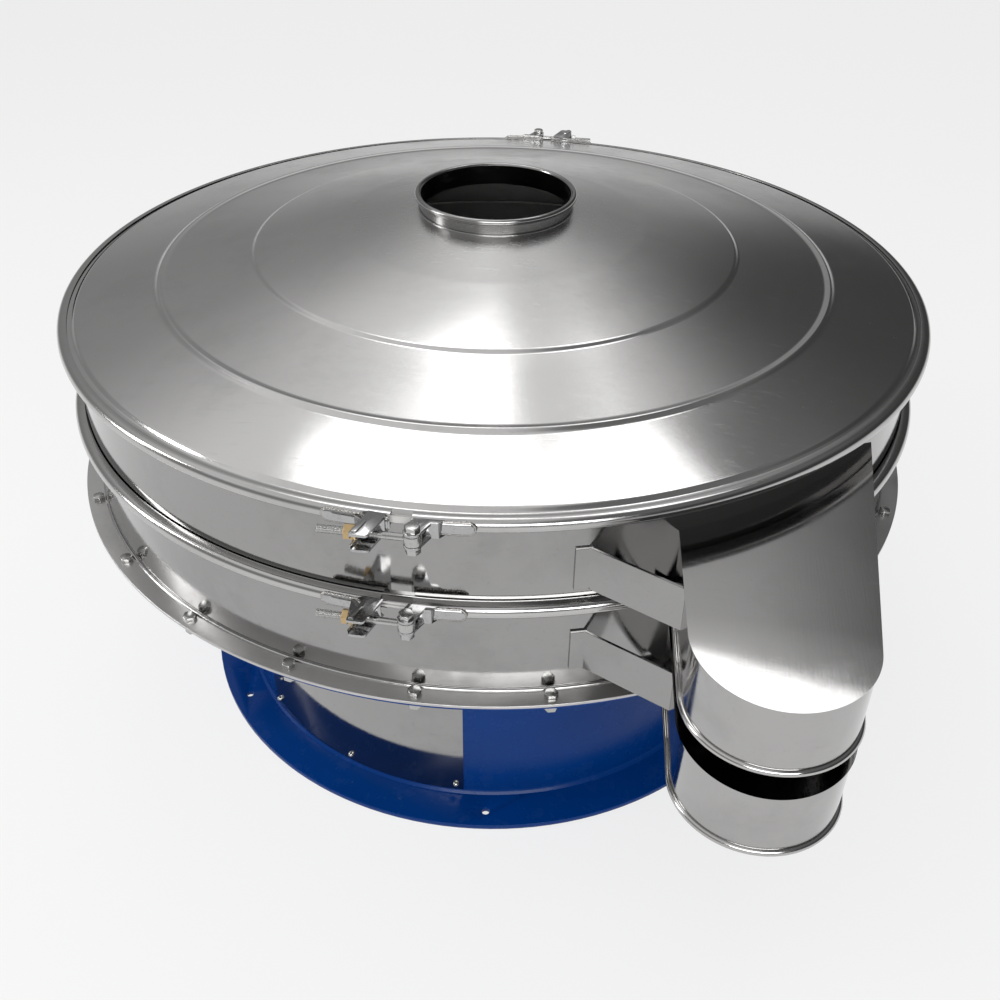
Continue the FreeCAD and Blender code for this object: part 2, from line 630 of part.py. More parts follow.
def fork_pin(name):
    """Headed pin through the fork's ears with its nut below."""
    spot = ("fork_pin_x", "0 - bolt_axis_radius")
    ear = "(eye_height / 2 + fork_ear_play + fork_ear_gauge)"
    low = f"0 - {ear} - nut_height"
    shaft = upright(name + "Shaft", "fork_pin_radius", low, f"2 * {ear} + nut_height", *spot)
    head = bolt_top(name + "Head", ear, *spot)
    nut = hexagon(name + "Nut", "bolt_flats", low, "nut_height", *spot)
    return joined(name, [shaft, head, nut])


def eye_bolt(name):
    """Draw bolt with a round eye on the fork's pin."""
    spot = ("fork_pin_x", "0 - bolt_axis_radius")
    eye = upright(name + "Eye", "eye_radius", "0 - eye_height / 2", "eye_height", *spot)
    shank = level_rod(name + "Shank", "shank_radius", "fork_pin_x - shank_length", "shank_length", spot[1])
    hole = upright(name + "Hole", "fork_pin_radius + pin_play", "0 - eye_height", "2 * eye_height", *spot)
    return minus(name, joined(name + "Blank", [eye, shank]), hole)


def draw_nut(name):
    """Long hexagonal nut on the draw bolt."""
    start = "saddle_left_x - draw_nut_play - draw_nut_length"
    axis = "0 - bolt_axis_radius"
    prism = solid("Prism", name + "Hexagon", Circumradius="draw_nut_flats / 2 / cos(30)",
                  Height="draw_nut_length")
    prism.Polygon = 6
    place(prism, start, axis, turn="90", axis=ALONG)
    bore = level_rod(name + "Bore", "shank_radius + pin_play", f"{start} - draw_nut_length",
                     "3 * draw_nut_length", axis)
    return minus(name, prism, bore)


def clamp_ring(which, middle, front_gap, closure_turn):
    """One clamp ring: two equal halves, each with a saddle at one end and a fork at the other.

    The front draw bolt opens the ring.  The rear one stays drawn up, and its pin is the hinge.
    """
    rear_turn = f"{closure_turn} + rear_closure_angle"
    rear_gap = "rear_ring_gap_angle"
    for side in ("left", "right"):
        half_ring(f"{which}_ring_{side}_half", middle, side, front_gap, closure_turn)
    saddle(f"{which}_saddle", middle, closure_turn, front_gap)
    saddle(f"{which}_rear_right_ear", middle, rear_turn, rear_gap)
    fork(f"{which}_fork", middle, closure_turn, front_gap)
    fork(f"{which}_rear_left_ear", middle, rear_turn, rear_gap)
    for piece in (fork_pin, eye_bolt, draw_nut):
        label = f"{which}_{piece.__name__}"
        at_ring(piece(label.title().replace("_", "")), label, middle, closure_turn)
    rear_pin = doc.addObject("Part::Compound", f"{which}RearPin")
    rear_pin.Links = [piece(f"{which}Rear{piece.__name__}") for piece in (fork_pin, eye_bolt, draw_nut)]
    at_ring(rear_pin, f"{which}_rear_pin", middle, rear_turn)


# --- screen deck ----------------------------------------------------------------------------------

def flat_ring(label, inner, outer, bottom, height):
    """A flat ring turned about the axis."""
    body = new_body(label.title().replace("_", ""))
    revolve(body, body.Name + "Section", [
        (inner, bottom), (outer, bottom), (outer, f"{bottom} + {height}"), (inner, f"{bottom} + {height}")])
    return keep(body, label)


def disc(label, radius, bottom, height):
    return keep(upright(label.title().replace("_", ""), radius, bottom, height), label)


def screen_deck():
    """Screen frame with its mesh, gaskets, ball deck and cleaning balls."""
    rim = "(mid_joint_z - half_stack + rim_gauge)"
    top_rim = "(mid_joint_z + half_stack - rim_gauge)"
    tube_top = f"({top_rim} - gasket_gauge)"
    tube_bottom = f"({tube_top} - screen_tube_height)"
    inner = "screen_inner_radius"
    gauge = "screen_tube_gauge"
    flat_ring("screen_lower_gasket", "screen_outer_radius", "rim_radius", rim, "gasket_gauge")
    flat_ring("screen_upper_gasket", "wall_inside", "rim_radius", tube_top, "gasket_gauge")
    body = new_body("ScreenFrame")
    tongue = f"({rim} + gasket_gauge)"
    revolve(body, "ScreenTube", [
        (inner, tube_bottom), (f"screen_outer_radius - {gauge}", tube_bottom),
        (f"screen_outer_radius - {gauge}", tongue), ("rim_radius", tongue), ("rim_radius", tube_top),
        (inner, tube_top), (inner, f"{tube_top} - {gauge}"),
        (f"screen_outer_radius - 2 * {gauge}", f"{tube_top} - {gauge}"),
        (f"screen_outer_radius - 2 * {gauge}", f"{tube_bottom} + {gauge}"),
        (inner, f"{tube_bottom} + {gauge}")])
    keep(body, "screen_frame")
    disc("screen_mesh", "screen_outer_radius", tube_top, "mesh_gauge")
    deck = new_body("BallDeck")
    deck_bottom = f"{tube_bottom} - deck_gauge"
    deck_radius = "screen_outer_radius - screen_tube_gauge"
    pad(deck, "DeckPlate", lambda sketch: circle(sketch, "0", "0", deck_radius),
        deck_bottom, "deck_gauge")
    hole = pocket(deck, "DeckHole", deck_hole, deck_bottom, "deck_gauge")
    round_pattern(deck, "DeckHoles", hole, "deck_holes")
    keep(deck, "ball_deck")
    ball = solid("Sphere", "Ball", Radius="ball_radius")
    place(ball, "ball_circle", "0", f"{tube_bottom} + ball_radius + ball_play")
    copies("cleaning_balls", ball, "balls")


def deck_hole(sketch):
    circle(sketch, "screen_inner_radius - deck_hole_inset", "0", "deck_hole_radius")


def fines_dome():
    """Domed floor of the lower frame, which sends the fines out to the rim."""
    body = new_body("FinesDome")
    rim = "wall_inside"
    crown = "(flange_top_z + dome_rim_height + dome_rise)"
    upper = [(rim, f"{crown} - dome_rise"),
             (f"{rim} - dome_shoulder_inset", f"{crown} - dome_shoulder_drop"),
             (f"{rim} - dome_crown_inset", f"{crown} - dome_crown_drop"), ("0", crown)]
    under = [(radius, f"{height} - dome_gauge") for radius, height in reversed(upper)]
    revolve(body, "DomeSheet", upper + under)
    return keep(body, "fines_dome")


# --- bolted flange, table, springs and motor ------------------------------------------------------

def table():
    """Turned vibrating table: bolting flange, thinner web, motor opening."""
    body = new_body("Table")
    web_top = "table_under_z + table_web_gauge"
    bore = "motor_radius + motor_gauge"
    revolve(body, "TableSection", [
        (bore, "table_under_z"), ("table_radius", "table_under_z"),
        ("table_radius", "table_top_z"), ("table_web_radius", "table_top_z"), ("table_web_radius", web_top),
        (bore, web_top)])
    holes = pocket(body, "TableHole", bolt_hole, "table_under_z", "table_gauge")
    round_pattern(body, "TableHoles", holes, "flange_bolts")
    motor_holes = pocket(body, "TableMotorHole", motor_hole, "table_under_z", "table_web_gauge")
    round_pattern(body, "TableMotorHoles", motor_holes, "motor_bolts")
    return keep(body, "table")


def flange_bolts():
    """Hexagon bolts round the lower flange, heads up, with their nuts below the table."""
    spot = ("0", "0 - flange_bolt_circle")
    under = "table_under_z"
    head = bolt_top("FlangeBoltHead", "flange_top_z", *spot)
    shank = upright("FlangeBoltShank", "bolt_radius", f"{under} - nut_height - bolt_tail",
                    f"flange_top_z - {under} + nut_height + bolt_tail", *spot)
    copies("flange_bolts", joined("FlangeBolt", [head, shank]), "flange_bolts", "flange_bolt_angle")
    bore = upright("FlangeNutBore", "bolt_radius + pin_play", f"{under} - 2 * nut_height",
                   "3 * nut_height", *spot)
    blank = hexagon("FlangeNutBlank", "bolt_flats", f"{under} - nut_height", "nut_height", *spot)
    copies("flange_nuts", minus("FlangeNut", blank, bore), "flange_bolts", "flange_bolt_angle")


def cup(name, bottom, opening_up):
    """Spring seat: a round plate with a turned wall outside the coil."""
    outer = "spring_radius + seat_play + seat_gauge"
    blank = upright(name + "Blank", outer, bottom, "seat_height", "spring_circle")
    floor = f"{bottom} + seat_gauge" if opening_up else f"{bottom} - seat_gauge"
    hollow = upright(name + "Hollow", "spring_radius + seat_play", floor, "seat_height", "spring_circle")
    return minus(name, blank, hollow)


def springs():
    """Coil springs between the base ring and the table, each in two cup seats."""
    low = "seat_z"
    high = "table_under_z"
    copies("lower_spring_seats", cup("LowerSeat", low, True), "springs")
    copies("upper_spring_seats", cup("UpperSeat", f"{high} - seat_height", False), "springs")
    start = f"{low} + seat_gauge + spring_wire"
    rise = f"({high} - {low} - 2 * seat_gauge - 2 * spring_wire)"
    helix = solid("Helix", "SpringHelix", Pitch=f"{rise} / spring_turns", Height=rise,
                  Radius="spring_radius - spring_wire")
    place(helix, height=start)
    wire = solid("Circle", "SpringWire", Radius="spring_wire")
    place(wire, "spring_radius - spring_wire", "0", start, turn="90", axis=ACROSS)
    coil = doc.addObject("Part::Sweep", "SpringCoil")
    coil.Sections = [wire]
    coil.Spine = (helix, [])
    coil.Solid = True
    coil.Frenet = True
    place(coil, "spring_circle")
    copies("springs", coil, "springs")


def motor():
    """Vertical vibrator motor hung from the table, with an unbalance weight at each shaft end."""
    under = "table_under_z"
    inner = "(motor_radius - motor_gauge)"
    top = f"({under} - motor_flange_gauge)"
    body = new_body("MotorHousing")
    revolve(body, "HousingSection", [
        ("bearing_radius", "motor_bottom_z"), ("motor_radius", "motor_bottom_z"), ("motor_radius", top),
        ("motor_flange_radius", top), ("motor_flange_radius", under), ("bearing_radius", under),
        ("bearing_radius", f"{under} - bearing_width"), (inner, f"{under} - bearing_width - motor_gauge"),
        (inner, "motor_bottom_z + bearing_width + motor_gauge"),
        ("bearing_radius", "motor_bottom_z + bearing_width")])
    holes = pocket(body, "MotorHole", motor_hole, top, "motor_flange_gauge")
    round_pattern(body, "MotorHoles", holes, "motor_bolts")
    keep(body, "motor_housing")
    for label, bottom in (("lower_bearing", "motor_bottom_z"),
                          ("upper_bearing", f"{under} - bearing_width")):
        flat_ring(label, "shaft_radius + shaft_play", "bearing_radius", bottom, "bearing_width")
    flat_ring("stator", "stator_inner_radius", inner, "core_z", "core_height")
    flat_ring("rotor_core", "shaft_radius", "stator_inner_radius - rotor_air_gap", "core_z", "core_height")
    shaft_bottom = "(lower_weight_z - shaft_tail)"
    shaft_top = "upper_weight_z + weight_gauge + shaft_nose"
    disc("motor_shaft", "shaft_radius", shaft_bottom, f"{shaft_top} - {shaft_bottom}")
    cap_inner = "shaft_radius + rotor_air_gap"
    flat_ring("upper_bearing_cap", cap_inner, "cap_radius", under, "cap_gauge")
    flat_ring("lower_bearing_cap", cap_inner, "cap_radius", "motor_bottom_z - cap_gauge", "cap_gauge")
    weight("upper_weight", "upper_weight_z")
    weight("lower_weight", "lower_weight_z")
    terminal = block("TerminalBlank", ("0 - box_width / 2", "motor_radius - box_depth", "core_z"),
                     ("box_width / 2", "motor_radius + box_depth", "core_z + box_height"))
    wall = upright("TerminalWall", "motor_radius", "0", "top_joint_z")
    keep(minus("TerminalBox", terminal, wall), "terminal_box")


def motor_hole(sketch):
    circle(sketch, "motor_bolt_circle", "0", "bolt_radius + bolt_play")


def weight(label, bottom):
    """Half-round unbalance weight with a split hub on the shaft."""
    name = label.title().replace("_", "")
    round_plate = upright(name + "Round", "weight_radius", bottom, "weight_gauge")
    half = block(name + "Half", ("0 - 2 * weight_radius", "0", "0"),
                 ("2 * weight_radius", "2 * weight_radius", "top_joint_z"))
    sector = doc.addObject("Part::MultiCommon", name + "Sector")
    sector.Shapes = [round_plate, half]
    hub = upright(name + "Hub", "weight_hub_radius", bottom, "weight_gauge")
    bore = upright(name + "Bore", "shaft_radius + pin_play", "0", "top_joint_z")
    return keep(minus(name, joined(name + "Blank", [sector, hub]), bore), label)


def motor_bolts():
    """Bolts that hang the motor's flange from the table's web."""
    under = "table_under_z"
    low = f"({under} - motor_flange_gauge)"
    spot = ("motor_bolt_circle", "0")
    head = hexagon("MotorBoltHead", "bolt_flats", f"{low} - bolt_head", "bolt_head", *spot)
    grip = "motor_flange_gauge + table_web_gauge"
    shank = upright("MotorBoltShank", "bolt_radius", low, f"{grip} + nut_height + bolt_tail", *spot)
    nut = hexagon("MotorBoltNut", "bolt_flats", f"{under} + table_web_gauge", "nut_height", *spot)
    copies("motor_bolts", joined("MotorBolt", [head, shank, nut]), "motor_bolts")


# --- base -----------------------------------------------------------------------------------------

def base():
    """Foot flange, welded drum with its access opening, and the ring that carries the springs."""
    foot = new_body("FootFlange")
    pad(foot, "FootPlate", foot_plan, "0", "foot_gauge")
    holes = pocket(foot, "AnchorHole", anchor_hole, "0", "foot_gauge")
    round_pattern(foot, "AnchorHoles", holes, "anchors")
    keep(foot, "foot_flange")
    drum = new_body("BaseDrum")
    inner = "drum_radius - drum_gauge"
    revolve(drum, "DrumSection", [
        (inner, "foot_gauge"), ("drum_radius + weld_leg", "foot_gauge"),
        ("drum_radius", "foot_gauge + weld_leg"), ("drum_radius", "drum_top_z"), (inner, "drum_top_z")])
    whole = minus("DrumWithOpening", drum, panel_window("DrumWindow", "panel_lap", "0 - drum_gauge", "0"))
    keep(whole, "base_drum")
    flat_ring("base_ring", "base_ring_inner_radius", "drum_radius", "drum_top_z", "base_ring_gauge")
    keep(panel_window("AccessPanel", "0", "0", "panel_gauge"), "access_panel")


def foot_plan(sketch):
    circle(sketch, "0", "0", "foot_radius")
    circle(sketch, "0", "0", "foot_inner_radius")


def anchor_hole(sketch):
    angle = "(anchor_angle - 90)"
    circle(sketch, f"anchor_circle * cos({angle})", f"anchor_circle * sin({angle})", "anchor_radius")


def panel_window(name, inset, inner_offset, outer_offset):
    """A curved plate on the drum over the access opening, inset from the panel's edge."""
    edge = f"({inset}) / drum_radius * 180 / pi"
    body = new_body(name)
    revolve(body, name + "Sheet", [
        (f"drum_radius + {inner_offset}", f"panel_bottom_z + {inset}"),
        (f"drum_radius + {outer_offset}", f"panel_bottom_z + {inset}"),
        (f"drum_radius + {outer_offset}", f"panel_top_z - ({inset})"),
        (f"drum_radius + {inner_offset}", f"panel_top_z - ({inset})")],
        f"panel_end_angle - panel_start_angle - 2 * {edge}")
    return place(body, turn="(panel_start_angle + panel_end_angle) / 2 - 90")


def panel_screws():
    """Dome-headed screws at the panel's corners and mid edges."""
    inset = "screw_inset / drum_radius * 180 / pi"
    middle = "(panel_start_angle + panel_end_angle) / 2"
    heads = []
    turns = (f"panel_start_angle + {inset}", middle, f"panel_end_angle - {inset}")
    heights = ("panel_bottom_z + screw_inset", "panel_top_z - screw_inset")
    face = "drum_radius + panel_gauge"
    for index, (turn, height) in enumerate((turn, height) for turn in turns for height in heights):
        ball = solid("Sphere", f"ScrewDome{index}", Radius="screw_radius")
        place(ball, f"({face}) * sin({turn})", f"0 - ({face}) * cos({turn})", height)
        heads.append(ball)
    panel_skin = upright("ScrewFace", face, "0", "top_joint_z")
    return keep(minus("PanelScrews", joined("ScrewDomes", heads), panel_skin), "panel_screws")


def build():
    """Make every sub-part in the order it goes together."""
    base()
    panel_screws()
    springs()
    table()
    motor()
    motor_bolts()
    lower_frame()
    flange_bolts()
    fines_dome()
    screen_deck()
    upper_frame()
    flat_ring("top_gasket", "wall_inside", "rim_radius",
              "top_joint_z - half_stack + rim_gauge", "2 * half_stack - rim_gauge - lid_gauge")
    lid()
    feed_neck()
    spout("upper_outlet", "upper_spout_top_z", "upper_spout_mouth_z", "upper_spout_floor_z",
          "upper_step_radius")
    spout("lower_outlet", "lower_spout_top_z", "lower_spout_mouth_z", "lower_spout_floor_z",
          "lower_step_radius")
    strut("upper_strut", "upper_spout_top_z - spout_gauge - strut_drop - strut_height")
    strut("lower_strut", "lower_spout_top_z - spout_gauge - strut_drop - strut_height")
    clamp_ring("top", "top_joint_z", "top_ring_gap_angle", "top_closure_angle")
    clamp_ring("mid", "mid_joint_z", "mid_ring_gap_angle", "mid_closure_angle")


def check_and_write():
    """Stop on any failed object, then write each sub-part's shape."""
    doc.recompute()
    failed = [item.Name for item in doc.Objects if {"Invalid", "Error"} & set(item.State)]
    if failed:
        raise RuntimeError(f"failed objects: {failed}")
    os.makedirs("parts", exist_ok=True)
    for item in PARTS:
        if item.Shape.isNull() or not item.Shape.isValid():
            raise RuntimeError(f"bad shape: {item.Label}")
        item.Shape.exportStep(f"parts/{item.Label}.step")
        print(f"{item.Label}: {len(item.Shape.Solids)} solid(s), {item.Shape.Volume / 1000:.1f} cm3")


build()
check_and_write()
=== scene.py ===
"""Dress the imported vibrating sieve: spun lid, polished frames, clamp rings, outlets and painted base."""

import json
import logging
import math
from dataclasses import dataclass
from enum import Enum
from functools import cache
from typing import Callable, Iterable, Sequence

import bmesh
import bpy
from mathutils import Matrix, Vector


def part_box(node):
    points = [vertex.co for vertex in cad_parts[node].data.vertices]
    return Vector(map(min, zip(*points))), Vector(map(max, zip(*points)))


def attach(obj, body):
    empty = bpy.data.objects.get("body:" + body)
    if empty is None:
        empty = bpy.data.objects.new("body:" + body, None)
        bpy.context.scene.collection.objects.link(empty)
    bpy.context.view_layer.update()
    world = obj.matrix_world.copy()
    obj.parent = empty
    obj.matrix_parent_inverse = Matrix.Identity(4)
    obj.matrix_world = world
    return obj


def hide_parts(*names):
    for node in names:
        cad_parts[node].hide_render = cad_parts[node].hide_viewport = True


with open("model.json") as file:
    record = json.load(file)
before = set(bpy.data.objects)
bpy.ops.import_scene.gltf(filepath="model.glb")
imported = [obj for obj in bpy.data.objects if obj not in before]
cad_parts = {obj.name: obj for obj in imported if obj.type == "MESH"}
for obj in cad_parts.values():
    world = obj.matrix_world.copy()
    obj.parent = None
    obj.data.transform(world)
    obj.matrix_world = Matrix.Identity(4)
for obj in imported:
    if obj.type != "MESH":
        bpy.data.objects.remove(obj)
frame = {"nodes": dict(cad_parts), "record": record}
LOG = logging.getLogger("sieve")
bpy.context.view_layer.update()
Point = tuple[float, float]


# --- shader expressions ---------------------------------------------------------------------------

class Socket:
    """One output of a shader node, with arithmetic that adds Math nodes."""

    def __init__(self, tree: "Shader", link: bpy.types.NodeSocket) -> None:
        """Wrap a node's output.

        Args:
            tree: The shader that the node belongs to.
            link: The output socket.
        """
        self.tree = tree
        self.link = link

    def _math(self, operation: str, first: "Socket | float", second: "Socket | float") -> "Socket":
        """One Math node on two values."""
        return self.tree.node("Math", {"operation": operation}, {0: first, 1: second})

    def __add__(self, other: "Socket | float") -> "Socket":
        """Sum of the two."""
        return self._math("ADD", self, other)

    __radd__ = __add__

    def __mul__(self, other: "Socket | float") -> "Socket":
        """Product of the two."""
        return self._math("MULTIPLY", self, other)

    __rmul__ = __mul__

    def __sub__(self, other: "Socket | float") -> "Socket":
        """This less the other."""
        return self._math("SUBTRACT", self, other)

    def __rsub__(self, other: "Socket | float") -> "Socket":
        """The other less this."""
        return self._math("SUBTRACT", other, self)

    def __truediv__(self, other: "Socket | float") -> "Socket":
        """This over the other."""
        return self._math("DIVIDE", self, other)

    def __pow__(self, other: "Socket | float") -> "Socket":
        """This to a power."""
        return self._math("POWER", self, other)

    def clamped(self) -> "Socket":
        """This held between 0 and 1."""
        return self.tree.node("Clamp", {}, {"Value": self})

    def above(self, edge: float, soft: float) -> "Socket":
        """A mask that rises from 0 to 1 as this passes an edge.

        Args:
            edge: Value at the middle of the rise.
            soft: Half the width of the rise.

        Returns:
            The mask.
        """
        inputs = {"Value": self, "From Min": edge - soft, "From Max": edge + soft}
        return self.tree.node("MapRange", {"interpolation_type": "SMOOTHSTEP"}, inputs)


class Shader:
    """The node tree of a material or of the world, built by expressions."""

    def __init__(self, holder: bpy.types.Material | bpy.types.World) -> None:
        """Empty the holder's tree.

        Args:
            holder: The material or world that the tree belongs to.
        """
        self.holder = holder
        self.holder.use_nodes = True
        self.tree = holder.node_tree
        self.tree.nodes.clear()

    def raw(self, kind: str, settings: dict, inputs: dict) -> bpy.types.Node:
        """Add a node.

        Args:
            kind: The type without its ShaderNode prefix.
            settings: Attributes, set first; a ramp's stops go under "stops".
            inputs: Values or Sockets by input name or number.

        Returns:
            The node.
        """
        node = self.tree.nodes.new("ShaderNode" + kind)
        for key, value in settings.items():
            if key == "stops":
                for index, (place, colour) in enumerate(value):
                    ramp = node.color_ramp.elements
                    stop = ramp[index] if index < 2 else ramp.new(place)
                    stop.position = place
                    stop.color = colour
            else:
                setattr(node, key, value)
        for key, value in inputs.items():
            if isinstance(value, Socket):
                self.tree.links.new(value.link, node.inputs[key])
            else:
                node.inputs[key].default_value = value
        return node

    def node(self, kind: str, settings: dict, inputs: dict, output: int | str = 0) -> Socket:
        """Add a node and wrap one of its outputs."""
        return Socket(self, self.raw(kind, settings, inputs).outputs[output])

    def place(self) -> Socket:
        """Object coordinates in metres."""
        return self.node("TexCoord", {}, {}, "Object")

    def mapped(self, scale: Sequence[float], shift: Sequence[float] = (0, 0, 0)) -> Socket:
        """Object coordinates, scaled and shifted."""
        return self.node("Mapping", {}, {"Vector": self.place(), "Scale": scale, "Location": shift})

    def parts(self, vector: Socket) -> tuple[Socket, Socket, Socket]:
        """The three parts of a vector."""
        node = self.raw("SeparateXYZ", {}, {0: vector})
        return tuple(Socket(self, out) for out in node.outputs)

    def joined(self, x: "Socket | float", y: "Socket | float", z: "Socket | float") -> Socket:
        """A vector of three values."""
        return self.node("CombineXYZ", {}, {0: x, 1: y, 2: z})

    def noise(self, scale: float, vector: Socket, detail: float = 3.0, rough: float = 0.5) -> Socket:
        """Noise between 0 and 1."""
        inputs = {"Vector": vector, "Scale": scale, "Detail": detail, "Roughness": rough}
        return self.node("TexNoise", {}, inputs)

    def blend(self, mask: "Socket | float", first: "Socket | tuple", second: "Socket | tuple",
              mode: str = "MIX") -> Socket:
        """Mix two colours by a mask."""
        node = self.raw("Mix", {"data_type": "RGBA", "blend_type": mode}, {0: mask, 6: first, 7: second})
        return Socket(self, node.outputs[2])

    def ramp(self, value: Socket, stops: Sequence[Point]) -> Socket:
        """A level that changes with a value between given stops.

        Args:
            value: What the level depends on, from 0 to 1.
            stops: Value and level of each stop, values rising.

        Returns:
            The level.
        """
        colours = [(place, grey(level)) for place, level in stops]
        return self.node("ValToRGB", {"stops": colours}, {0: value})

    def bump(self, height: Socket, distance: float, strength: float = 1.0) -> Socket:
        """A bumped normal from a height."""
        return self.node("Bump", {}, {"Height": height, "Distance": distance, "Strength": strength})

    def finish(self, **inputs: "Socket | float | tuple") -> bpy.types.Material:
        """Close the tree with a Principled shader.

        Args:
            **inputs: Sockets of the Principled shader, spaces written as underscores.

        Returns:
            The material.
        """
        named = {key.replace("_", " "): value for key, value in inputs.items()}
        shader = self.node("BsdfPrincipled", {}, named)
        self.raw("OutputMaterial", {}, {"Surface": shader})
        return self.holder


def grey(level: float, warm: float = 0.0) -> tuple[float, float, float, float]:
    """A near-neutral colour, warmer for a positive second value."""
    return (level * (1 + warm), level, level * (1 - warm), 1.0)


class Grain(Enum):
    """Direction in which a metal surface was worked, as the marks' fineness along X, Y and Z."""

    SPUN = (900.0, 0.0, 40.0)
    ROLLED = (6.0, 6.0, 900.0)
    SHEET = (420.0, 14.0, 420.0)


@dataclass(frozen=True)
class Steel:
    """Polished or brushed stainless sheet."""

    name: str
    level: float = 0.62
    warm: float = 0.01
    roughness: float = 0.10
    haze: float = 0.12
    grain: Grain = Grain.ROLLED
    grain_depth: float = 0.00002
    wave_depth: float = 0.0006
    wave_scale: float = 3.0
    scratches: float = 0.5
    spread: float = 0.0
    zones: tuple[Point, ...] = ()

    @cache
    def material(self) -> bpy.types.Material:
        """Build the material.

        Returns:
            Metal with worked grain, polishing haze, smudges, fine scratches and a slow ripple.
        """
        shader = Shader(bpy.data.materials.new(self.name))
        x, y, z = shader.parts(shader.place())
        radius = (x * x + y * y) ** 0.5
        base = shader.ramp(radius, self.zones) if self.zones else self.roughness
        fine_x, fine_y, fine_z = self.grain.value
        across = radius if self.grain is Grain.SPUN else x
        lines = shader.noise(1.0, shader.joined(across * fine_x, y * fine_y, z * fine_z), 4.0, 0.6)
        smudge = shader.noise(7.0, shader.place(), 5.0, 0.62).above(0.56, 0.12)
        cloud = shader.noise(2.3, shader.mapped((1, 1, 2.5)), 3.0, 0.5)
        speck = shader.noise(160.0, shader.place(), 2.0, 0.7).above(0.70, 0.03)
        scratch = shader.noise(22.0, shader.mapped((1, 14, 6)), 2.0, 0.5).above(0.66, 0.015)
        scratch = scratch * (self.scratches * 0.5)
        rough = base + lines * 0.05 + smudge * (self.haze * 0.5) + cloud * (self.haze * 0.35)
        rough = (rough + speck * 0.06 + scratch * 0.25).clamped()
        stain = (smudge * 0.35 + speck * 0.25 + scratch * 0.4).clamped()
        colour = shader.blend(stain, grey(self.level, self.warm), grey(self.level * 0.72, self.warm))
        ripple = shader.noise(self.wave_scale, shader.mapped((1, 1, 1.6)), 1.5, 0.4)
        waved = shader.bump(ripple, self.wave_depth)
        normal = shader.node("Bump", {}, {"Height": lines, "Distance": self.grain_depth, "Normal": waved})
        return shader.finish(Base_Color=colour, Roughness=rough, Metallic=1.0, Normal=normal,
                             Anisotropic=self.spread, Anisotropic_Rotation=0.25)


@dataclass(frozen=True)
class Paint:
    """Sprayed gloss enamel with orange peel, dust and worn edges."""

    name: str
    colour: tuple[float, float, float]
    roughness: float = 0.22
    dust: float = 0.25

    @cache
    def material(self) -> bpy.types.Material:
        """Build the material."""
        shader = Shader(bpy.data.materials.new(self.name))
        peel = shader.noise(260.0, shader.place(), 2.0, 0.5)
        drift = shader.noise(4.0, shader.mapped((1, 1, 2)), 4.0, 0.55)
        dusty = shader.noise(22.0, shader.place(), 5.0, 0.7).above(0.62, 0.1)
        chips = shader.noise(75.0, shader.place(), 3.0, 0.6).above(0.735, 0.008)
        base = (*self.colour, 1.0)
        deep = (*(part * 0.72 for part in self.colour), 1.0)
        worn = tuple(part * 0.8 + 0.06 for part in self.colour)
        colour = shader.blend(drift, deep, base)
        colour = shader.blend(dusty * self.dust, colour, (*worn, 1.0))
        colour = shader.blend(chips * 0.7, colour, (0.09, 0.11, 0.15, 1.0))
        rough = (self.roughness + dusty * 0.22 + drift * 0.08 + chips * 0.3).clamped()
        normal = shader.bump(peel, 0.00012)
        return shader.finish(Base_Color=colour, Roughness=rough, Normal=normal, Specular_IOR_Level=0.18)


@dataclass(frozen=True)
class Plated:
    """Bright plated fastener metal."""

    name: str
    colour: tuple[float, float, float]
    roughness: float = 0.25

    @cache
    def material(self) -> bpy.types.Material:
        """Build the material."""
        shader = Shader(bpy.data.materials.new(self.name))
        cast = shader.noise(45.0, shader.place(), 3.0, 0.5)
        dull = shader.noise(240.0, shader.place(), 3.0, 0.6).above(0.60, 0.08)
        dark = tuple(part * 0.62 for part in self.colour)
        colour = shader.blend((cast * 0.35 + dull * 0.3).clamped(), (*self.colour, 1.0), (*dark, 1.0))
        rough = (self.roughness + cast * 0.06 + dull * 0.10).clamped()
        normal = shader.bump(cast, 0.00012)
        return shader.finish(Base_Color=colour, Roughness=rough, Metallic=1.0, Normal=normal)


@dataclass(frozen=True)
class Weld:
    """Unpolished weld bead with ripples and heat tint."""

    name: str = "weld_bead"

    @cache
    def material(self) -> bpy.types.Material:
        """Build the material."""
        shader = Shader(bpy.data.materials.new(self.name))
        ripple = shader.noise(420.0, shader.place(), 3.0, 0.6)
        tint = shader.noise(90.0, shader.place(), 2.0, 0.5)
        colour = shader.blend(tint, grey(0.48, 0.01), (0.34, 0.32, 0.30, 1.0))
        rough = (0.16 + ripple * 0.20).clamped()
        normal = shader.bump(ripple, 0.0007)
        return shader.finish(Base_Color=colour, Roughness=rough, Metallic=1.0, Normal=normal)


@dataclass(frozen=True)
class Rubber:
    """Moulded rubber or silicone."""

    name: str
    level: float
    warm: float = 0.0

    @cache
    def material(self) -> bpy.types.Material:
        """Build the material."""
        shader = Shader(bpy.data.materials.new(self.name))
        bloom = shader.noise(30.0, shader.place(), 4.0, 0.6)
        colour = shader.blend(bloom, grey(self.level, self.warm), grey(self.level * 0.8, self.warm))
        rough = (0.45 + bloom * 0.25).clamped()
        return shader.finish(Base_Color=colour, Roughness=rough, Normal=shader.bump(bloom, 0.0003))


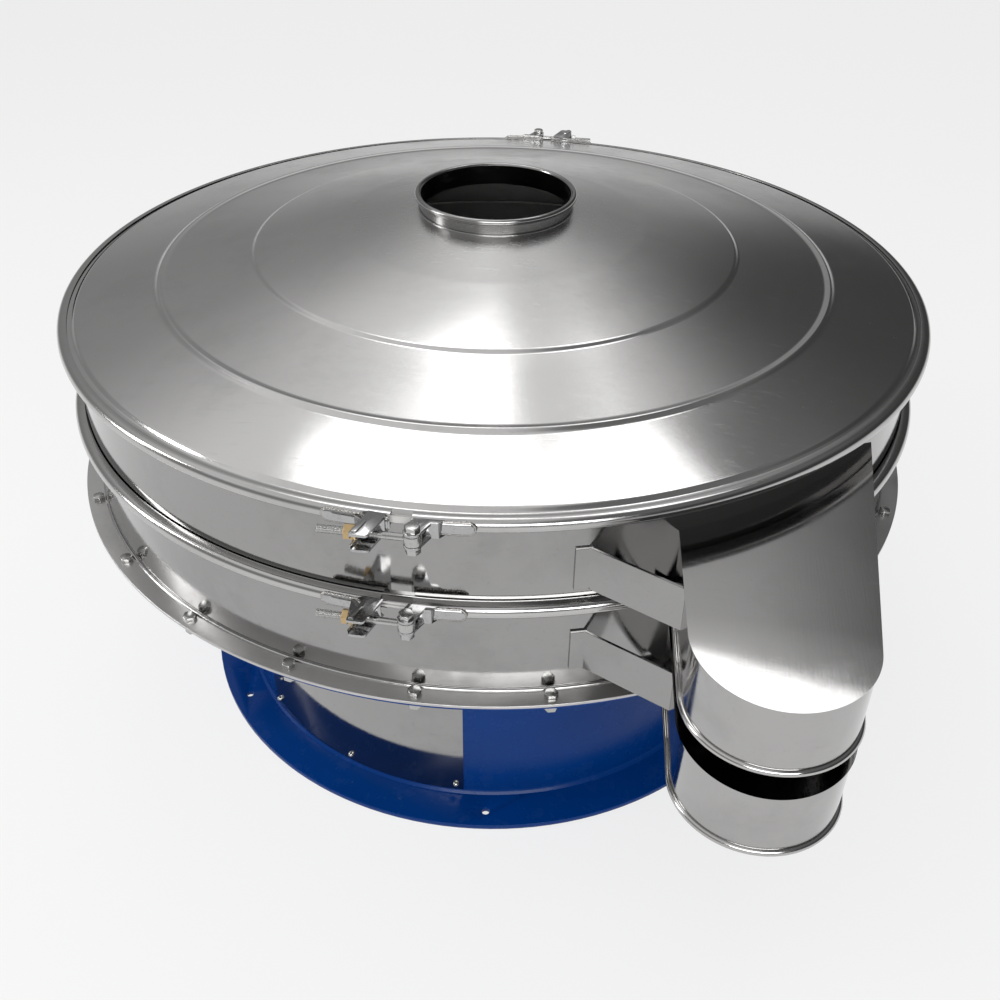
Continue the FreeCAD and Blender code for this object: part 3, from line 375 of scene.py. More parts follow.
@dataclass(frozen=True)
class Woven:
    """Fine woven screen cloth."""

    name: str = "woven_screen"
    pitch: float = 0.0035

    @cache
    def material(self) -> bpy.types.Material:
        """Build the material: crossing wires in height and tone, with the openings painted near black as
        painted shade for the space under the cloth.
        """
        shader = Shader(bpy.data.materials.new(self.name))
        x, y, _ = shader.parts(shader.place())
        turns = 2 * math.pi / self.pitch
        warp = shader.node("Math", {"operation": "SINE"}, {0: x * turns})
        weft = shader.node("Math", {"operation": "SINE"}, {0: y * turns})
        wire = shader.node("Math", {"operation": "MAXIMUM"}, {0: warp, 1: weft})
        dust = shader.noise(9.0, shader.place(), 4.0, 0.6)
        openings_painted_dark = 1.0 - wire.above(0.1, 0.4)
        # Painted shade: the openings between the wires are coloured near black, standing in for the shade
        # seen through the cloth.
        colour = shader.blend(openings_painted_dark, grey(0.30), grey(0.05))
        colour = shader.blend(dust * 0.3, colour, grey(0.18, 0.05))
        rough = (0.35 + openings_painted_dark * 0.3).clamped()
        normal = shader.bump(wire, 0.0004)
        return shader.finish(Base_Color=colour, Roughness=rough, Metallic=0.9, Normal=normal)


# --- mesh helpers ---------------------------------------------------------------------------------

def new_piece(name: str, shape: bmesh.types.BMesh, material: bpy.types.Material,
              sharp: float = 35.0) -> bpy.types.Object:
    """Turn a finished bmesh into an object at the origin.

    Args:
        name: The piece's name.
        shape: The mesh, freed here.
        material: Its material.
        sharp: Edges sharper than this many degrees stay sharp.

    Returns:
        The object.
    """
    mesh = bpy.data.meshes.new(name)
    shape.to_mesh(mesh)
    shape.free()
    mesh.shade_smooth()
    mesh.set_sharp_from_angle(angle=math.radians(sharp))
    mesh.materials.append(material)
    piece = bpy.data.objects.new(name, mesh)
    bpy.context.scene.collection.objects.link(piece)
    return piece


def applied(piece: bpy.types.Object) -> bpy.types.Object:
    """Bake the piece's modifiers into its mesh."""
    graph = bpy.context.evaluated_depsgraph_get()
    mesh = bpy.data.meshes.new_from_object(piece.evaluated_get(graph))
    piece.modifiers.clear()
    piece.data = mesh
    return piece


def rounded(corners: Sequence[Point], radii: Sequence[float], steps: int = 5) -> list[Point]:
    """Round a closed outline's corners.

    Args:
        corners: The corners in order.
        radii: The setback at each corner; 0 leaves it sharp.
        steps: Pieces of each rounding.

    Returns:
        The points of the rounded outline.
    """
    points: list[Point] = []
    count = len(corners)
    for index, corner in enumerate(corners):
        here = Vector(corner)
        before = Vector(corners[index - 1]) - here
        after = Vector(corners[(index + 1) % count]) - here
        if radii[index] <= 0:
            points.append(tuple(here))
            continue
        start = here + before.normalized() * radii[index]
        end = here + after.normalized() * radii[index]
        for step in range(steps + 1):
            part = step / steps
            points.append(tuple(start * (1 - part) ** 2 + here * 2 * part * (1 - part) + end * part ** 2))
    return points


def spun(profile: Sequence[Point], closed: bool, start: float = 0.0, sweep: float = 360.0,
         steps: int = 256) -> bmesh.types.BMesh:
    """Spin a profile of radius and height about the machine's axis.

    Args:
        profile: Points in order.
        closed: Whether the last point joins the first.
        start: First angle in degrees from +X.
        sweep: Degrees turned.
        steps: Pieces round the turn.

    Returns:
        The mesh, with capped ends where it isn't a full turn.
    """
    shape = bmesh.new()
    turn = Matrix.Rotation(math.radians(start), 4, "Z")
    verts = [shape.verts.new(turn @ Vector((radius, 0.0, height))) for radius, height in profile]
    pairs = list(zip(verts, verts[1:] + verts[:1] if closed else verts[1:]))
    edges = [shape.edges.new(pair) for pair in pairs]
    whole = abs(sweep - 360.0) < 1e-6
    if closed and not whole:
        cap = shape.faces.new(verts)
        bmesh.ops.spin(shape, geom=[cap, *edges, *verts], axis=(0, 0, 1), cent=(0, 0, 0),
                       angle=math.radians(sweep), steps=steps, use_duplicate=False)
        bmesh.ops.recalc_face_normals(shape, faces=shape.faces)
        return shape
    bmesh.ops.spin(shape, geom=[*edges, *verts], axis=(0, 0, 1), cent=(0, 0, 0), angle=math.radians(sweep),
                   steps=steps, use_merge=whole, use_duplicate=False)
    bmesh.ops.remove_doubles(shape, verts=shape.verts, dist=1e-6)
    bmesh.ops.recalc_face_normals(shape, faces=shape.faces)
    return shape


def tube(name: str, points: Iterable[Vector], radius: float, material: bpy.types.Material,
         closed: bool = False, rings: int = 3, swell: float = 0.0) -> bpy.types.Object:
    """A round bar along points.

    Args:
        name: The piece's name.
        points: Points that it follows.
        radius: Its radius.
        material: Its material.
        closed: Whether it joins up.
        rings: Roundness of its section.
        swell: Share by which its radius comes and goes, as on a hand-laid weld.

    Returns:
        The object, as a mesh.
    """
    curve = bpy.data.curves.new(name, "CURVE")
    curve.dimensions = "3D"
    curve.bevel_depth = radius
    curve.bevel_resolution = rings
    curve.use_fill_caps = not closed
    line = curve.splines.new("POLY")
    spots = list(points)
    line.points.add(len(spots) - 1)
    for index, (point, spot) in enumerate(zip(line.points, spots)):
        point.co = (*spot, 1.0)
        point.radius = 1.0 + swell * (0.6 * math.sin(index * 2.1) + 0.4 * math.sin(index * 0.77 + 1.0))
    line.use_cyclic_u = closed
    holder = bpy.data.objects.new(name + "_line", curve)
    bpy.context.scene.collection.objects.link(holder)
    graph = bpy.context.evaluated_depsgraph_get()
    graph.update()
    mesh = bpy.data.meshes.new_from_object(holder.evaluated_get(graph))
    bpy.data.objects.remove(holder)
    mesh.materials.clear()
    mesh.shade_smooth()
    mesh.materials.append(material)
    piece = bpy.data.objects.new(name, mesh)
    bpy.context.scene.collection.objects.link(piece)
    return piece


def extruded(outline: Sequence[Vector], move: Sequence[float]) -> bmesh.types.BMesh:
    """A solid swept straight from a flat closed outline.

    Args:
        outline: Its corners in order.
        move: How far it is swept.

    Returns:
        The closed mesh.
    """
    shape = bmesh.new()
    base = shape.faces.new([shape.verts.new(point) for point in outline])
    raised = bmesh.ops.extrude_face_region(shape, geom=[base])
    moved = [item for item in raised["geom"] if isinstance(item, bmesh.types.BMVert)]
    bmesh.ops.translate(shape, verts=moved, vec=move)
    bmesh.ops.recalc_face_normals(shape, faces=shape.faces)
    return shape


def turned(angle: float, radius: float, height: float) -> Vector:
    """A point at an angle from the front, in degrees towards +X."""
    turn = math.radians(angle)
    return Vector((radius * math.sin(turn), -radius * math.cos(turn), height))


def smooth_copy(node: str, material: bpy.types.Material, bevel: float = 0.0006,
                reshape: Callable[[Vector], Vector] | None = None, sharp: float = 40.0) -> bpy.types.Object:
    """A merged, lightly bevelled copy of a CAD node that takes its place.

    Args:
        node: The CAD node's name.
        material: The copy's material.
        bevel: Width of the edge break.
        reshape: Gives each point's new place, if the form is refined.
        sharp: Edges sharper than this many degrees stay sharp.

    Returns:
        The copy, which replaces the node.
    """
    shape = bmesh.new()
    shape.from_mesh(frame["nodes"][node].data)
    bmesh.ops.remove_doubles(shape, verts=shape.verts, dist=1e-6)
    bmesh.ops.dissolve_limit(shape, angle_limit=math.radians(1.0), verts=shape.verts, edges=shape.edges)
    if reshape is not None:
        for vert in shape.verts:
            vert.co = reshape(vert.co)
    piece = new_piece(node + "_dressed", shape, material, 28.0)
    edge = piece.modifiers.new("edge_break", "BEVEL")
    edge.width = bevel
    edge.segments = 2
    edge.limit_method = "ANGLE"
    edge.angle_limit = math.radians(35.0)
    applied(piece)
    piece.data.shade_smooth()
    piece.data.set_sharp_from_angle(angle=math.radians(sharp))
    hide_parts(node)
    return piece


# --- finishes -------------------------------------------------------------------------------------

LID_ZONES = ((0.13, 0.24), (0.19, 0.17), (0.262, 0.13), (0.30, 0.12), (0.424, 0.12), (0.47, 0.10),
             (0.60, 0.11), (0.72, 0.09))
LID_STEEL = Steel("lid_steel", level=0.60, haze=0.10, grain=Grain.SPUN, grain_depth=0.00003,
                  wave_depth=0.0016, wave_scale=2.4, spread=0.30, zones=LID_ZONES)
# Painted shade: the wall steel's level sits far below the lid's, so the polished walls render dark as if
# reflecting darker surroundings.
WALL_STEEL = Steel("wall_steel", level=0.33, roughness=0.04, haze=0.08, wave_depth=0.0010, wave_scale=4.0)
RING_STEEL = Steel("ring_steel", level=0.50, roughness=0.09, haze=0.12, wave_depth=0.0004, wave_scale=9.0)
FLANGE_STEEL = Steel("flange_steel", level=0.56, roughness=0.22, haze=0.30, grain=Grain.SPUN,
                     wave_depth=0.0003)
# Painted shade: the outlet steel's level is lowered below the lid's, standing in for the darker surroundings
# its polished faces reflect.
OUTLET_STEEL = Steel("outlet_steel", level=0.42, roughness=0.05, haze=0.14, grain=Grain.SHEET, scratches=0.3,
                     wave_depth=0.0012, wave_scale=5.0)
# Painted shade: the collar and panel steel have their level lowered below the lid's, standing in for the
# darker surroundings their polished faces reflect.
COLLAR_STEEL = Steel("collar_steel", level=0.34, roughness=0.10, haze=0.16, wave_depth=0.0003, wave_scale=9.0)
PANEL_STEEL = Steel("panel_steel", level=0.34, roughness=0.03, haze=0.06, wave_depth=0.0006, wave_scale=3.0)
INNER_STEEL = Steel("inner_steel", level=0.45, roughness=0.30, haze=0.20, grain=Grain.SPUN)
BOLT_STEEL = Plated("bolt_steel", (0.50, 0.50, 0.49), 0.20)
FITTING_STEEL = Plated("fitting_steel", (0.46, 0.46, 0.46), 0.12)
WELD_METAL = Weld()
NUT_BRASS = Plated("nut_brass", (0.56, 0.41, 0.22), 0.26)
SPRING_BLACK = Paint("spring_black", (0.02, 0.02, 0.022), 0.35, 0.15)
BASE_BLUE = Paint("base_blue", (0.0, 0.040, 0.215), dust=0.10)
SEAL_SILICONE = Rubber("seal_silicone", 0.72, 0.02)
BALL_RUBBER = Rubber("ball_rubber", 0.55, 0.08)
SCREEN_CLOTH = Woven()


# --- sub-assemblies -------------------------------------------------------------------------------

@dataclass
class Lid:
    """Spun conical lid with its edge bend, swaged bead, step and crease."""

    gauge: float = 0.002
    edge_radius: float = 0.728
    cone_radius: float = 0.722
    edge_rise: float = 0.005
    slope: float = 0.195
    bead_radius: float = 0.582
    bead_half: float = 0.008
    bead_rise: float = 0.0045
    step_radius: float = 0.424
    step_run: float = 0.006
    step_rise: float = 0.003
    crease_radius: float = 0.262
    crease_rise: float = 0.0015
    neck_radius: float = 0.132
    rim_radius: float = 0.743

    def line(self) -> list[Point]:
        """The upper line of the sheet from rim to neck.

        Returns:
            Radius and height of each break.
        """
        low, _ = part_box("lid")
        rim = low.z + self.gauge
        edge = rim + self.edge_rise

        def cone(radius: float) -> float:
            """Height of the plain cone."""
            return edge + (self.cone_radius - radius) * self.slope

        outer, inner = self.bead_radius + self.bead_half, self.bead_radius - self.bead_half
        step_in = self.step_radius - self.step_run
        return [(self.rim_radius, rim), (self.edge_radius, rim), (self.cone_radius, edge),
                (outer, cone(outer)), (self.bead_radius, cone(self.bead_radius) + self.bead_rise),
                (inner, cone(inner)),
                (self.step_radius, cone(self.step_radius)), (step_in, cone(step_in) + self.step_rise),
                (self.crease_radius, cone(self.crease_radius) + self.step_rise + self.crease_rise),
                (self.neck_radius, cone(self.neck_radius) + self.step_rise)]

    def build(self) -> list[bpy.types.Object]:
        """Spin the sheet and give it its finish.

        Returns:
            The lid.
        """
        top = self.line()
        setbacks = [0, 0.0025, 0.0025, 0.004, 0.0035, 0.004, 0.0025, 0.0025, 0.006, 0]
        upper = rounded(top, setbacks, 5)
        under = [(radius, height - self.gauge) for radius, height in reversed(upper)]
        lid = new_piece("lid_shell", spun(upper + under, True, steps=360), LID_STEEL.material(), 50.0)
        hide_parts("lid")
        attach(lid, "sieve")
        return [lid]


@dataclass
class Neck:
    """Feed collar with a rolled lip, welded to the lid at its foot."""

    radius: float = 0.132
    gauge: float = 0.002
    bead: float = 0.0052
    bead_shift: float = 0.0035
    bead_start: float = -140.0
    bead_sweep: float = 300.0
    bead_points: int = 16
    weld: float = 0.0024

    def build(self) -> list[bpy.types.Object]:
        """Spin the collar and lay the weld round its foot.

        Returns:
            The collar and its weld.
        """
        low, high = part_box("feed_neck")
        centre = high.z - self.bead
        inner = self.radius - self.gauge
        roll = []
        for step in range(self.bead_points + 1):
            angle = math.radians(self.bead_start + self.bead_sweep * step / self.bead_points)
            roll.append((self.radius + self.bead_shift + self.bead * math.cos(angle) * 0.9,
                         centre + self.bead * math.sin(angle)))
        profile = [(inner, low.z), (self.radius, low.z), (self.radius, centre - self.bead), *roll,
                   (inner, roll[-1][1])]
        steel = COLLAR_STEEL.material()
        collar = new_piece("feed_collar", spun(profile, True), steel, 50.0)
        foot = Lid().line()[-1][1]
        circle = [turned(angle, self.radius + self.weld * 0.4, foot) for angle in range(360)]
        bead = tube("feed_collar_weld", circle, self.weld, steel, True, 3, 0.04)
        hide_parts("feed_neck")
        for piece in (collar, bead):
            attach(piece, "sieve")
        return [collar, bead]


@dataclass
class Wall:
    """A rolled sieve wall: lower or upper frame."""

    node: str
    profile: Callable[[Vector, Vector], list[Point]]
    steps: int = 360

    def build(self) -> list[bpy.types.Object]:
        """Spin the wall.

        Returns:
            The wall.
        """
        low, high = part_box(self.node)
        shape = spun(self.profile(low, high), True, steps=self.steps)
        wall = new_piece(self.node + "_wall", shape, WALL_STEEL.material(), 40.0)
        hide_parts(self.node)
        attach(wall, "sieve")
        return [wall]


@dataclass
class Flange:
    """Satin bolting flange at the foot of the sieve, with the weld that joins it to the wall."""

    gauge: float = 0.005
    inner: float = 0.7322
    weld: float = 0.0034
    weld_steps: int = 720

    def build(self) -> list[bpy.types.Object]:
        """Spin the flange and its weld.

        Returns:
            The flange and the weld.
        """
        low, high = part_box("lower_frame")
        top = low.z + self.gauge
        corners = [(self.inner, low.z), (high.x, low.z), (high.x, top), (self.inner, top)]
        section = rounded(corners, [0, 0.0008, 0.0012, 0], 4)
        plate = new_piece("bolting_flange", spun(section, True, steps=360), FLANGE_STEEL.material(), 40.0)
        circle = [turned(360.0 * step / self.weld_steps, self.inner + self.weld * 0.3, top)
                  for step in range(self.weld_steps)]
        bead = tube("flange_weld", circle, self.weld, RING_STEEL.material(), True, 3, 0.05)
        for piece in (plate, bead):
            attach(piece, "sieve")
        return [plate, bead]


WALL_RADIUS = 0.732
WALL_GAUGE = 0.002
RIM_RADIUS = 0.745
RIM_GAUGE = 0.002


def upper_profile(low: Vector, high: Vector) -> list[Point]:
    """Section of the upper frame: a wall with a rim at each end."""
    inner = WALL_RADIUS - WALL_GAUGE
    corners = [(inner, low.z), (RIM_RADIUS, low.z), (RIM_RADIUS, low.z + RIM_GAUGE),
               (WALL_RADIUS, low.z + RIM_GAUGE), (WALL_RADIUS, high.z - RIM_GAUGE),
               (RIM_RADIUS, high.z - RIM_GAUGE), (RIM_RADIUS, high.z), (inner, high.z)]
    return rounded(corners, [0.001, 0, 0, 0.003, 0.003, 0, 0, 0.001], 4)


def lower_profile(low: Vector, high: Vector) -> list[Point]:
    """Section of the lower frame: a wall with a rim above; its flange is a piece of its own."""
    inner = WALL_RADIUS - WALL_GAUGE
    corners = [(inner, low.z), (WALL_RADIUS, low.z), (WALL_RADIUS, high.z - RIM_GAUGE),
               (RIM_RADIUS, high.z - RIM_GAUGE), (RIM_RADIUS, high.z), (inner, high.z)]
    return rounded(corners, [0, 0, 0.003, 0, 0, 0.001], 4)


@dataclass
class HalfRing:
    """Half of a clamp ring: a rolled channel."""

    which: str
    side: str
    front_gap: float
    closure_turn: float
    radius: float = 0.752
    lip_radius: float = 0.735
    gauge: float = 0.0012
    crest: float = 0.0125
    foot: float = 0.006
    rear_gap: float = 1.6

    def build(self) -> list[bpy.types.Object]:
        """Spin the channel over its half turn.

        Returns:
            The half ring.
        """
        node = f"{self.which}_ring_{self.side}_half"
        low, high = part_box(node)
        wall, lip = self.radius - self.gauge, self.lip_radius
        corners = [(lip, low.z), (self.radius, low.z), (self.radius, high.z), (lip, high.z),
                   (lip, high.z - self.gauge), (wall, high.z - self.gauge), (wall, low.z + self.gauge),
                   (lip, low.z + self.gauge)]
        profile = rounded(corners, [0.0005, self.foot, self.crest, 0.0005, 0.0005, self.crest - 0.001,
                                    self.foot - 0.001, 0.0005], 10)
        sweep = 180.0 - (self.front_gap + self.rear_gap) / 2
        first = -90.0 + self.front_gap / 2 if self.side == "right" else 90.0 + self.rear_gap / 2
        shape = spun(profile, True, first + self.closure_turn, sweep, 200)
        ring = new_piece(f"{self.which}_{self.side}_channel", shape, RING_STEEL.material(), 50.0)
        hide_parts(node)
        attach(ring, f"{self.which}_{self.side}_half")
        return [ring]


@dataclass
class Outlet:
    """Tangential outlet: flat top, tapering sides, round end, beaded mouth."""

    which: str
    centre: Point = (0.480, -0.830)
    end_radius: float = 0.110
    taper: float = 4.5
    run: float = 0.52
    gauge: float = 0.002
    lip: float = 0.003
    bead: float = 0.005
    step_radius: float = 0.768
    floor_height: float = 0.672
    droop: float = 0.007
    droop_run: float = 0.135
    bend_steps: int = 24
    past_front: float = 1.8
    clear: float = 0.05
    half_block: float = 0.3

    def bend(self, offset: float, depth: float, high: float) -> bpy.types.Object:
        """A block whose near face follows the drooping top.

        Args:
            offset: Height of that face above the sheet's upper face.
            depth: How far the block reaches from there, up or down.
            high: Height of the flat part of the top.

        Returns:
            The block, as a cutting tool.
        """
        front = self.centre[1] - self.end_radius
        line = [(0.0, high + offset)]
        for step in range(self.bend_steps + 1):
            part = step / self.bend_steps
            line.append((front + self.droop_run * (1 - part), high + offset - self.droop * part * part))
        line += [(front - self.clear, high + offset - self.droop * self.past_front),
                 (front - self.clear, high + depth), (0.0, high + depth)]
        side = self.centre[0] - self.half_block
        shape = extruded([Vector((side, y, z)) for y, z in line], (2 * self.half_block, 0, 0))
        return new_piece("outlet_bend", shape, OUTLET_STEEL.material())

    def plan(self, inset: float, steps: int = 64) -> list[Point]:
        """Outline seen from above.

        Args:
            inset: Distance inside the outer face.
            steps: Pieces of the round end.

        Returns:
            The left side's back, the round end and the right side's back.
        """
        radius = self.end_radius - inset
        lean = math.radians(self.taper)
        arc = []
        for step in range(steps + 1):
            angle = -math.pi + lean + (math.pi - 2 * lean) * step / steps
            arc.append((self.centre[0] + radius * math.cos(angle), self.centre[1] + radius * math.sin(angle)))
        back = Vector((math.sin(lean), math.cos(lean))) * self.run
        left = (arc[0][0] - back.x, arc[0][1] + back.y)
        right = (arc[-1][0] + back.x, arc[-1][1] + back.y)
        return [left, *arc, right]

    def prism(self, inset: float, low: float, high: float) -> bmesh.types.BMesh:
        """An upright solid on the outline."""
        return extruded([Vector((x, y, low)) for x, y in self.plan(inset)], (0, 0, high - low))

    def build(self) -> list[bpy.types.Object]:
        """Fold the shell, trim it to the wall and roll the bead on its mouth.

        Returns:
            The shell and its bead.
        """
        node = f"{self.which}_outlet"
        low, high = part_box(node)
        mouth = low.z + self.bead
        steel = OUTLET_STEEL.material()
        above = high.z + 0.01
        shell = new_piece(f"{self.which}_outlet_shell", self.prism(0.0, mouth, above), steel)
        lid = new_piece("outlet_lip", self.prism(-self.lip, high.z - 0.03, above), steel)
        hollow = new_piece("outlet_hollow", self.prism(self.gauge, mouth - 0.05, above), steel)
        sieve = new_piece("outlet_sieve", drum(WALL_RADIUS, 0.0, 1.2), steel)
        step = new_piece("outlet_step", drum(self.step_radius, 0.0, self.floor_height - self.gauge), steel)
        core = drum(self.step_radius + self.gauge, -0.1, self.floor_height)
        inner = new_piece("outlet_inner_step", core, steel)
        for base, tool, kind in ((lid, self.bend(0.0, 0.1, high.z), "DIFFERENCE"),
                                 (lid, self.bend(-self.gauge, -0.1, high.z), "DIFFERENCE"),
                                 (shell, self.bend(-self.gauge / 2, 0.1, high.z), "DIFFERENCE"),
                                 (hollow, self.bend(-self.gauge, 0.1, high.z), "DIFFERENCE"),
                                 (hollow, inner, "DIFFERENCE"), (shell, lid, "UNION"),
                                 (shell, sieve, "DIFFERENCE"), (shell, step, "DIFFERENCE"),
                                 (shell, hollow, "DIFFERENCE")):
            combine(base, tool, kind)
        shell.data.shade_smooth()
        shell.data.set_sharp_from_angle(angle=math.radians(30.0))
        line = [Vector((x, y, mouth)) for x, y in self.plan(0.0)]
        outside = [spot for spot in line if spot.xy.length > self.step_radius]
        ends = [trim_to(line[1], line[0], self.step_radius), trim_to(line[-2], line[-1], self.step_radius)]
        path = [ends[0], *outside, ends[1]]
        bead = tube(f"{self.which}_outlet_bead", path, self.bead, RING_STEEL.material())
        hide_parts(node)
        for piece in (shell, bead):
            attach(piece, "sieve")
        return [shell, bead]


def drum(radius: float, low: float, high: float) -> bmesh.types.BMesh:
    """A solid round about the machine's axis."""
    shape = bmesh.new()
    place = Matrix.Translation((0, 0, (low + high) / 2))
    bmesh.ops.create_cone(shape, cap_ends=True, segments=720, radius1=radius, radius2=radius,
                          depth=high - low, matrix=place)
    return shape


def combine(base: bpy.types.Object, tool: bpy.types.Object, kind: str) -> None:
    """Cut or join one piece with another and delete the tool."""
    both = base.modifiers.new("combine", "BOOLEAN")
    both.operation = kind
    both.solver = "EXACT"
    both.object = tool
    bpy.context.view_layer.update()
    applied(base)
    bpy.data.objects.remove(tool)


def trim_to(start: Vector, end: Vector, radius: float) -> Vector:
    """Where the line from start to end crosses a circle about the axis."""
    low, high = 0.0, 1.0
    for _ in range(40):
        part = (low + high) / 2
        if start.lerp(end, part).xy.length > radius:
            low = part
        else:
            high = part
    return start.lerp(end, low)


@dataclass
class Closure:
    """A ring's closure: saddle, fork, pin, draw bolt with its thread, draw nut, pads and their welds."""

    which: str
    rear: bool
    turn: float
    gap: float
    ring_radius: float = 0.752
    pad_radius: float = 0.7562
    pad_half: float = 0.0090
    left_pad: float = 9.0
    right_pad: float = 7.3
    bead: float = 0.0023
    bead_swell: float = 0.22
    bolt_radius: float = 0.778
    shank: float = 0.005
    pitch: float = 0.00175
    saddle_right: float = -0.024
    saddle_left: float = -0.0677
    channel_right: float = -0.0155
    channel_width: float = 0.0245
    channel_lean: float = 0.011
    ear_lean: float = 0.012
    eye_reach: float = 0.0105
    channel_rise: float = 0.038
    lean_limit: float = 1.3
    pad_arc: float = 0.755
    pad_rows: int = 44
    pad_turns: int = 15
    bolt_end: float = -0.1195
    thread_sides: int = 14
    thread_wire: float = 0.00055
    crown: tuple[Point, ...] = ((-0.0005, 0.0), (0.0024, 0.0), (0.0036, 0.0009), (0.0043, 0.0026),
                                (0.0047, 0.0055))
    nut_shift: float = 0.0192
    pad_share: float = 0.88

    def place(self) -> Matrix:
        """The move from a closure at the front, about height 0, to its ring."""
        low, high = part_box(f"{self.which}_ring_left_half")
        return (Matrix.Translation((0, 0, (low.z + high.z) / 2))
                @ Matrix.Rotation(math.radians(self.turn + (180.0 if self.rear else 0.0)), 4, "Z"))

    def slimmed(self, point: Vector) -> Vector:
        """Slim the channel, lean it and the ears back from the ring's gap, and shorten pad, nut and bolt end.

        Args:
            point: A place in the closure's own frame.

        Returns:
            Its new place.
        """
        radius = point.xy.length
        if radius < self.pad_radius - 0.0006 and abs(point.z) < self.pad_half - 0.0005:
            if point.x > 0:
                return point
            x = point.x * self.pad_share
            return Vector((x, -math.sqrt(radius ** 2 - x ** 2), point.z))
        if point.x > 0:
            hinge = self.bolt_radius - self.eye_reach
            lean = min(max((hinge - radius) / (hinge - self.ring_radius), 0.0), 1.0)
            return point + Vector((self.ear_lean * lean, 0, 0))
        if point.x < self.saddle_left - 0.0002:
            return point + Vector((self.nut_shift, 0, 0))
        if point.x > self.saddle_right + 0.0002:
            return point
        part = (point.x - self.saddle_right) / (self.saddle_right - self.saddle_left)
        lean = min((radius - self.ring_radius) / self.channel_rise, self.lean_limit)
        x = self.channel_right + self.channel_width * part - self.channel_lean * lean
        return Vector((x, point.y, point.z))

    def reshaper(self) -> Callable[[Vector], Vector]:
        """The slimmer form, as a move of points in the machine's frame."""
        place = self.place()
        back = place.inverted()
        return lambda point: place @ self.slimmed(back @ point)

    def outline(self, near: float, far: float, radius: float, inset: float = 0.0) -> list[Vector]:
        """The line round a pad, from its near end above to its near end below.

        Args:
            near: Sideways place of the end at the ring's gap.
            far: Sideways place of the rounded end.
            radius: Distance from the machine's axis.
            inset: Distance inside the pad's edge.

        Returns:
            Points a weld ripple apart; the last mirrors the first, and so on.
        """
        side = math.copysign(1.0, far - near)
        centre = far - side * self.pad_half
        half = self.pad_half - inset
        start = near + side * inset
        flat = [(start + (centre - start) * step / self.pad_rows, half) for step in range(self.pad_rows)]
        for step in range(self.pad_turns + 1):
            angle = math.pi * step / self.pad_turns
            flat.append((centre + side * half * math.sin(angle), half * math.cos(angle)))
        flat += [(place, -height) for place, height in reversed(flat[:self.pad_rows])]
        return [Vector((place, -math.sqrt(radius ** 2 - place ** 2), height)) for place, height in flat]

    def pad(self, name: str, near: float, far: float) -> bpy.types.Object:
        """A pad with a crowned face, built over its outline."""
        shape = bmesh.new()
        place = self.place()
        loops = []
        for rise, inset in self.crown:
            line = self.outline(near, far, self.ring_radius + rise, inset)
            loops.append([shape.verts.new(place @ point) for point in line])
        edges = [[shape.edges.new((loop[index - 1], loop[index])) for index in range(len(loop))]
                 for loop in loops]
        for lower, upper in zip(edges, edges[1:]):
            bmesh.ops.bridge_loops(shape, edges=lower + upper)
        for loop in (loops[0], loops[-1]):
            last = len(loop) - 1
            for index in range(len(loop) // 2 - 1):
                shape.faces.new((loop[index], loop[index + 1], loop[last - index - 1], loop[last - index]))
        bmesh.ops.recalc_face_normals(shape, faces=shape.faces)
        return new_piece(name, shape, FITTING_STEEL.material(), 50.0)

    def thread(self) -> bpy.types.Object:
        """The thread on the bolt's free end, one helix."""
        start, end = self.bolt_end + self.nut_shift, self.saddle_left + self.nut_shift
        turns = (end - start) / self.pitch
        count = int(turns * self.thread_sides)
        place = self.place()
        helix = []
        for step in range(count + 1):
            angle = math.tau * turns * step / count
            helix.append(place @ Vector((start + (end - start) * step / count,
                                         -self.bolt_radius + self.shank * math.cos(angle),
                                         self.shank * math.sin(angle))))
        name = f"{self.which}_{'rear' if self.rear else 'front'}_thread"
        return tube(name, helix, self.thread_wire, BOLT_STEEL.material(), False, 1)

    def copies(self) -> list[tuple[bpy.types.Object, str]]:
        """The modelled fittings, slimmed and dressed, with their bodies."""
        if self.rear:
            table = (("rear_right_ear", "right_half", FITTING_STEEL),
                     ("rear_left_ear", "left_half", FITTING_STEEL), ("rear_pin", "right_half", BOLT_STEEL))
        else:
            table = (("saddle", "left_half", FITTING_STEEL), ("fork", "right_half", FITTING_STEEL),
                     ("fork_pin", "right_half", BOLT_STEEL), ("eye_bolt", "draw_bolt", BOLT_STEEL),
                     ("draw_nut", "draw_nut", NUT_BRASS))
        made = []
        for part, body, finish in table:
            piece = smooth_copy(f"{self.which}_{part}", finish.material(), 0.0009, self.reshaper())
            made.append((piece, f"{self.which}_{body}"))
        return made

    def build(self) -> list[bpy.types.Object]:
        """Make the fittings, pads, welds and thread, and let each ride on its half.

        Returns:
            The pieces.
        """
        spot = "rear" if self.rear else "front"
        half_gap = self.ring_radius * math.sin(math.radians(self.gap / 2))
        ends = {"left": (-half_gap, -self.pad_arc * math.sin(math.radians(self.left_pad)) * self.pad_share),
                "right": (half_gap, self.pad_arc * math.sin(math.radians(self.right_pad)))}
        owners = {"left": "right", "right": "left"} if self.rear else {"left": "left", "right": "right"}
        pairs = self.copies()
        for side, (near, far) in ends.items():
            body = f"{self.which}_{owners[side]}_half"
            pairs.append((self.pad(f"{self.which}_{spot}_{side}_pad", near, far), body))
            line = [self.place() @ point for point in self.outline(near, far, self.ring_radius + 0.0012)]
            name = f"{self.which}_{spot}_{side}_weld"
            weld = tube(name, line, self.bead, WELD_METAL.material(), False, 2, self.bead_swell)
            pairs.append((weld, body))
        pairs.append((self.thread(), f"{self.which}_{'right_half' if self.rear else 'draw_bolt'}"))
        for piece, body in pairs:
            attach(piece, body)
        return [piece for piece, _ in pairs]


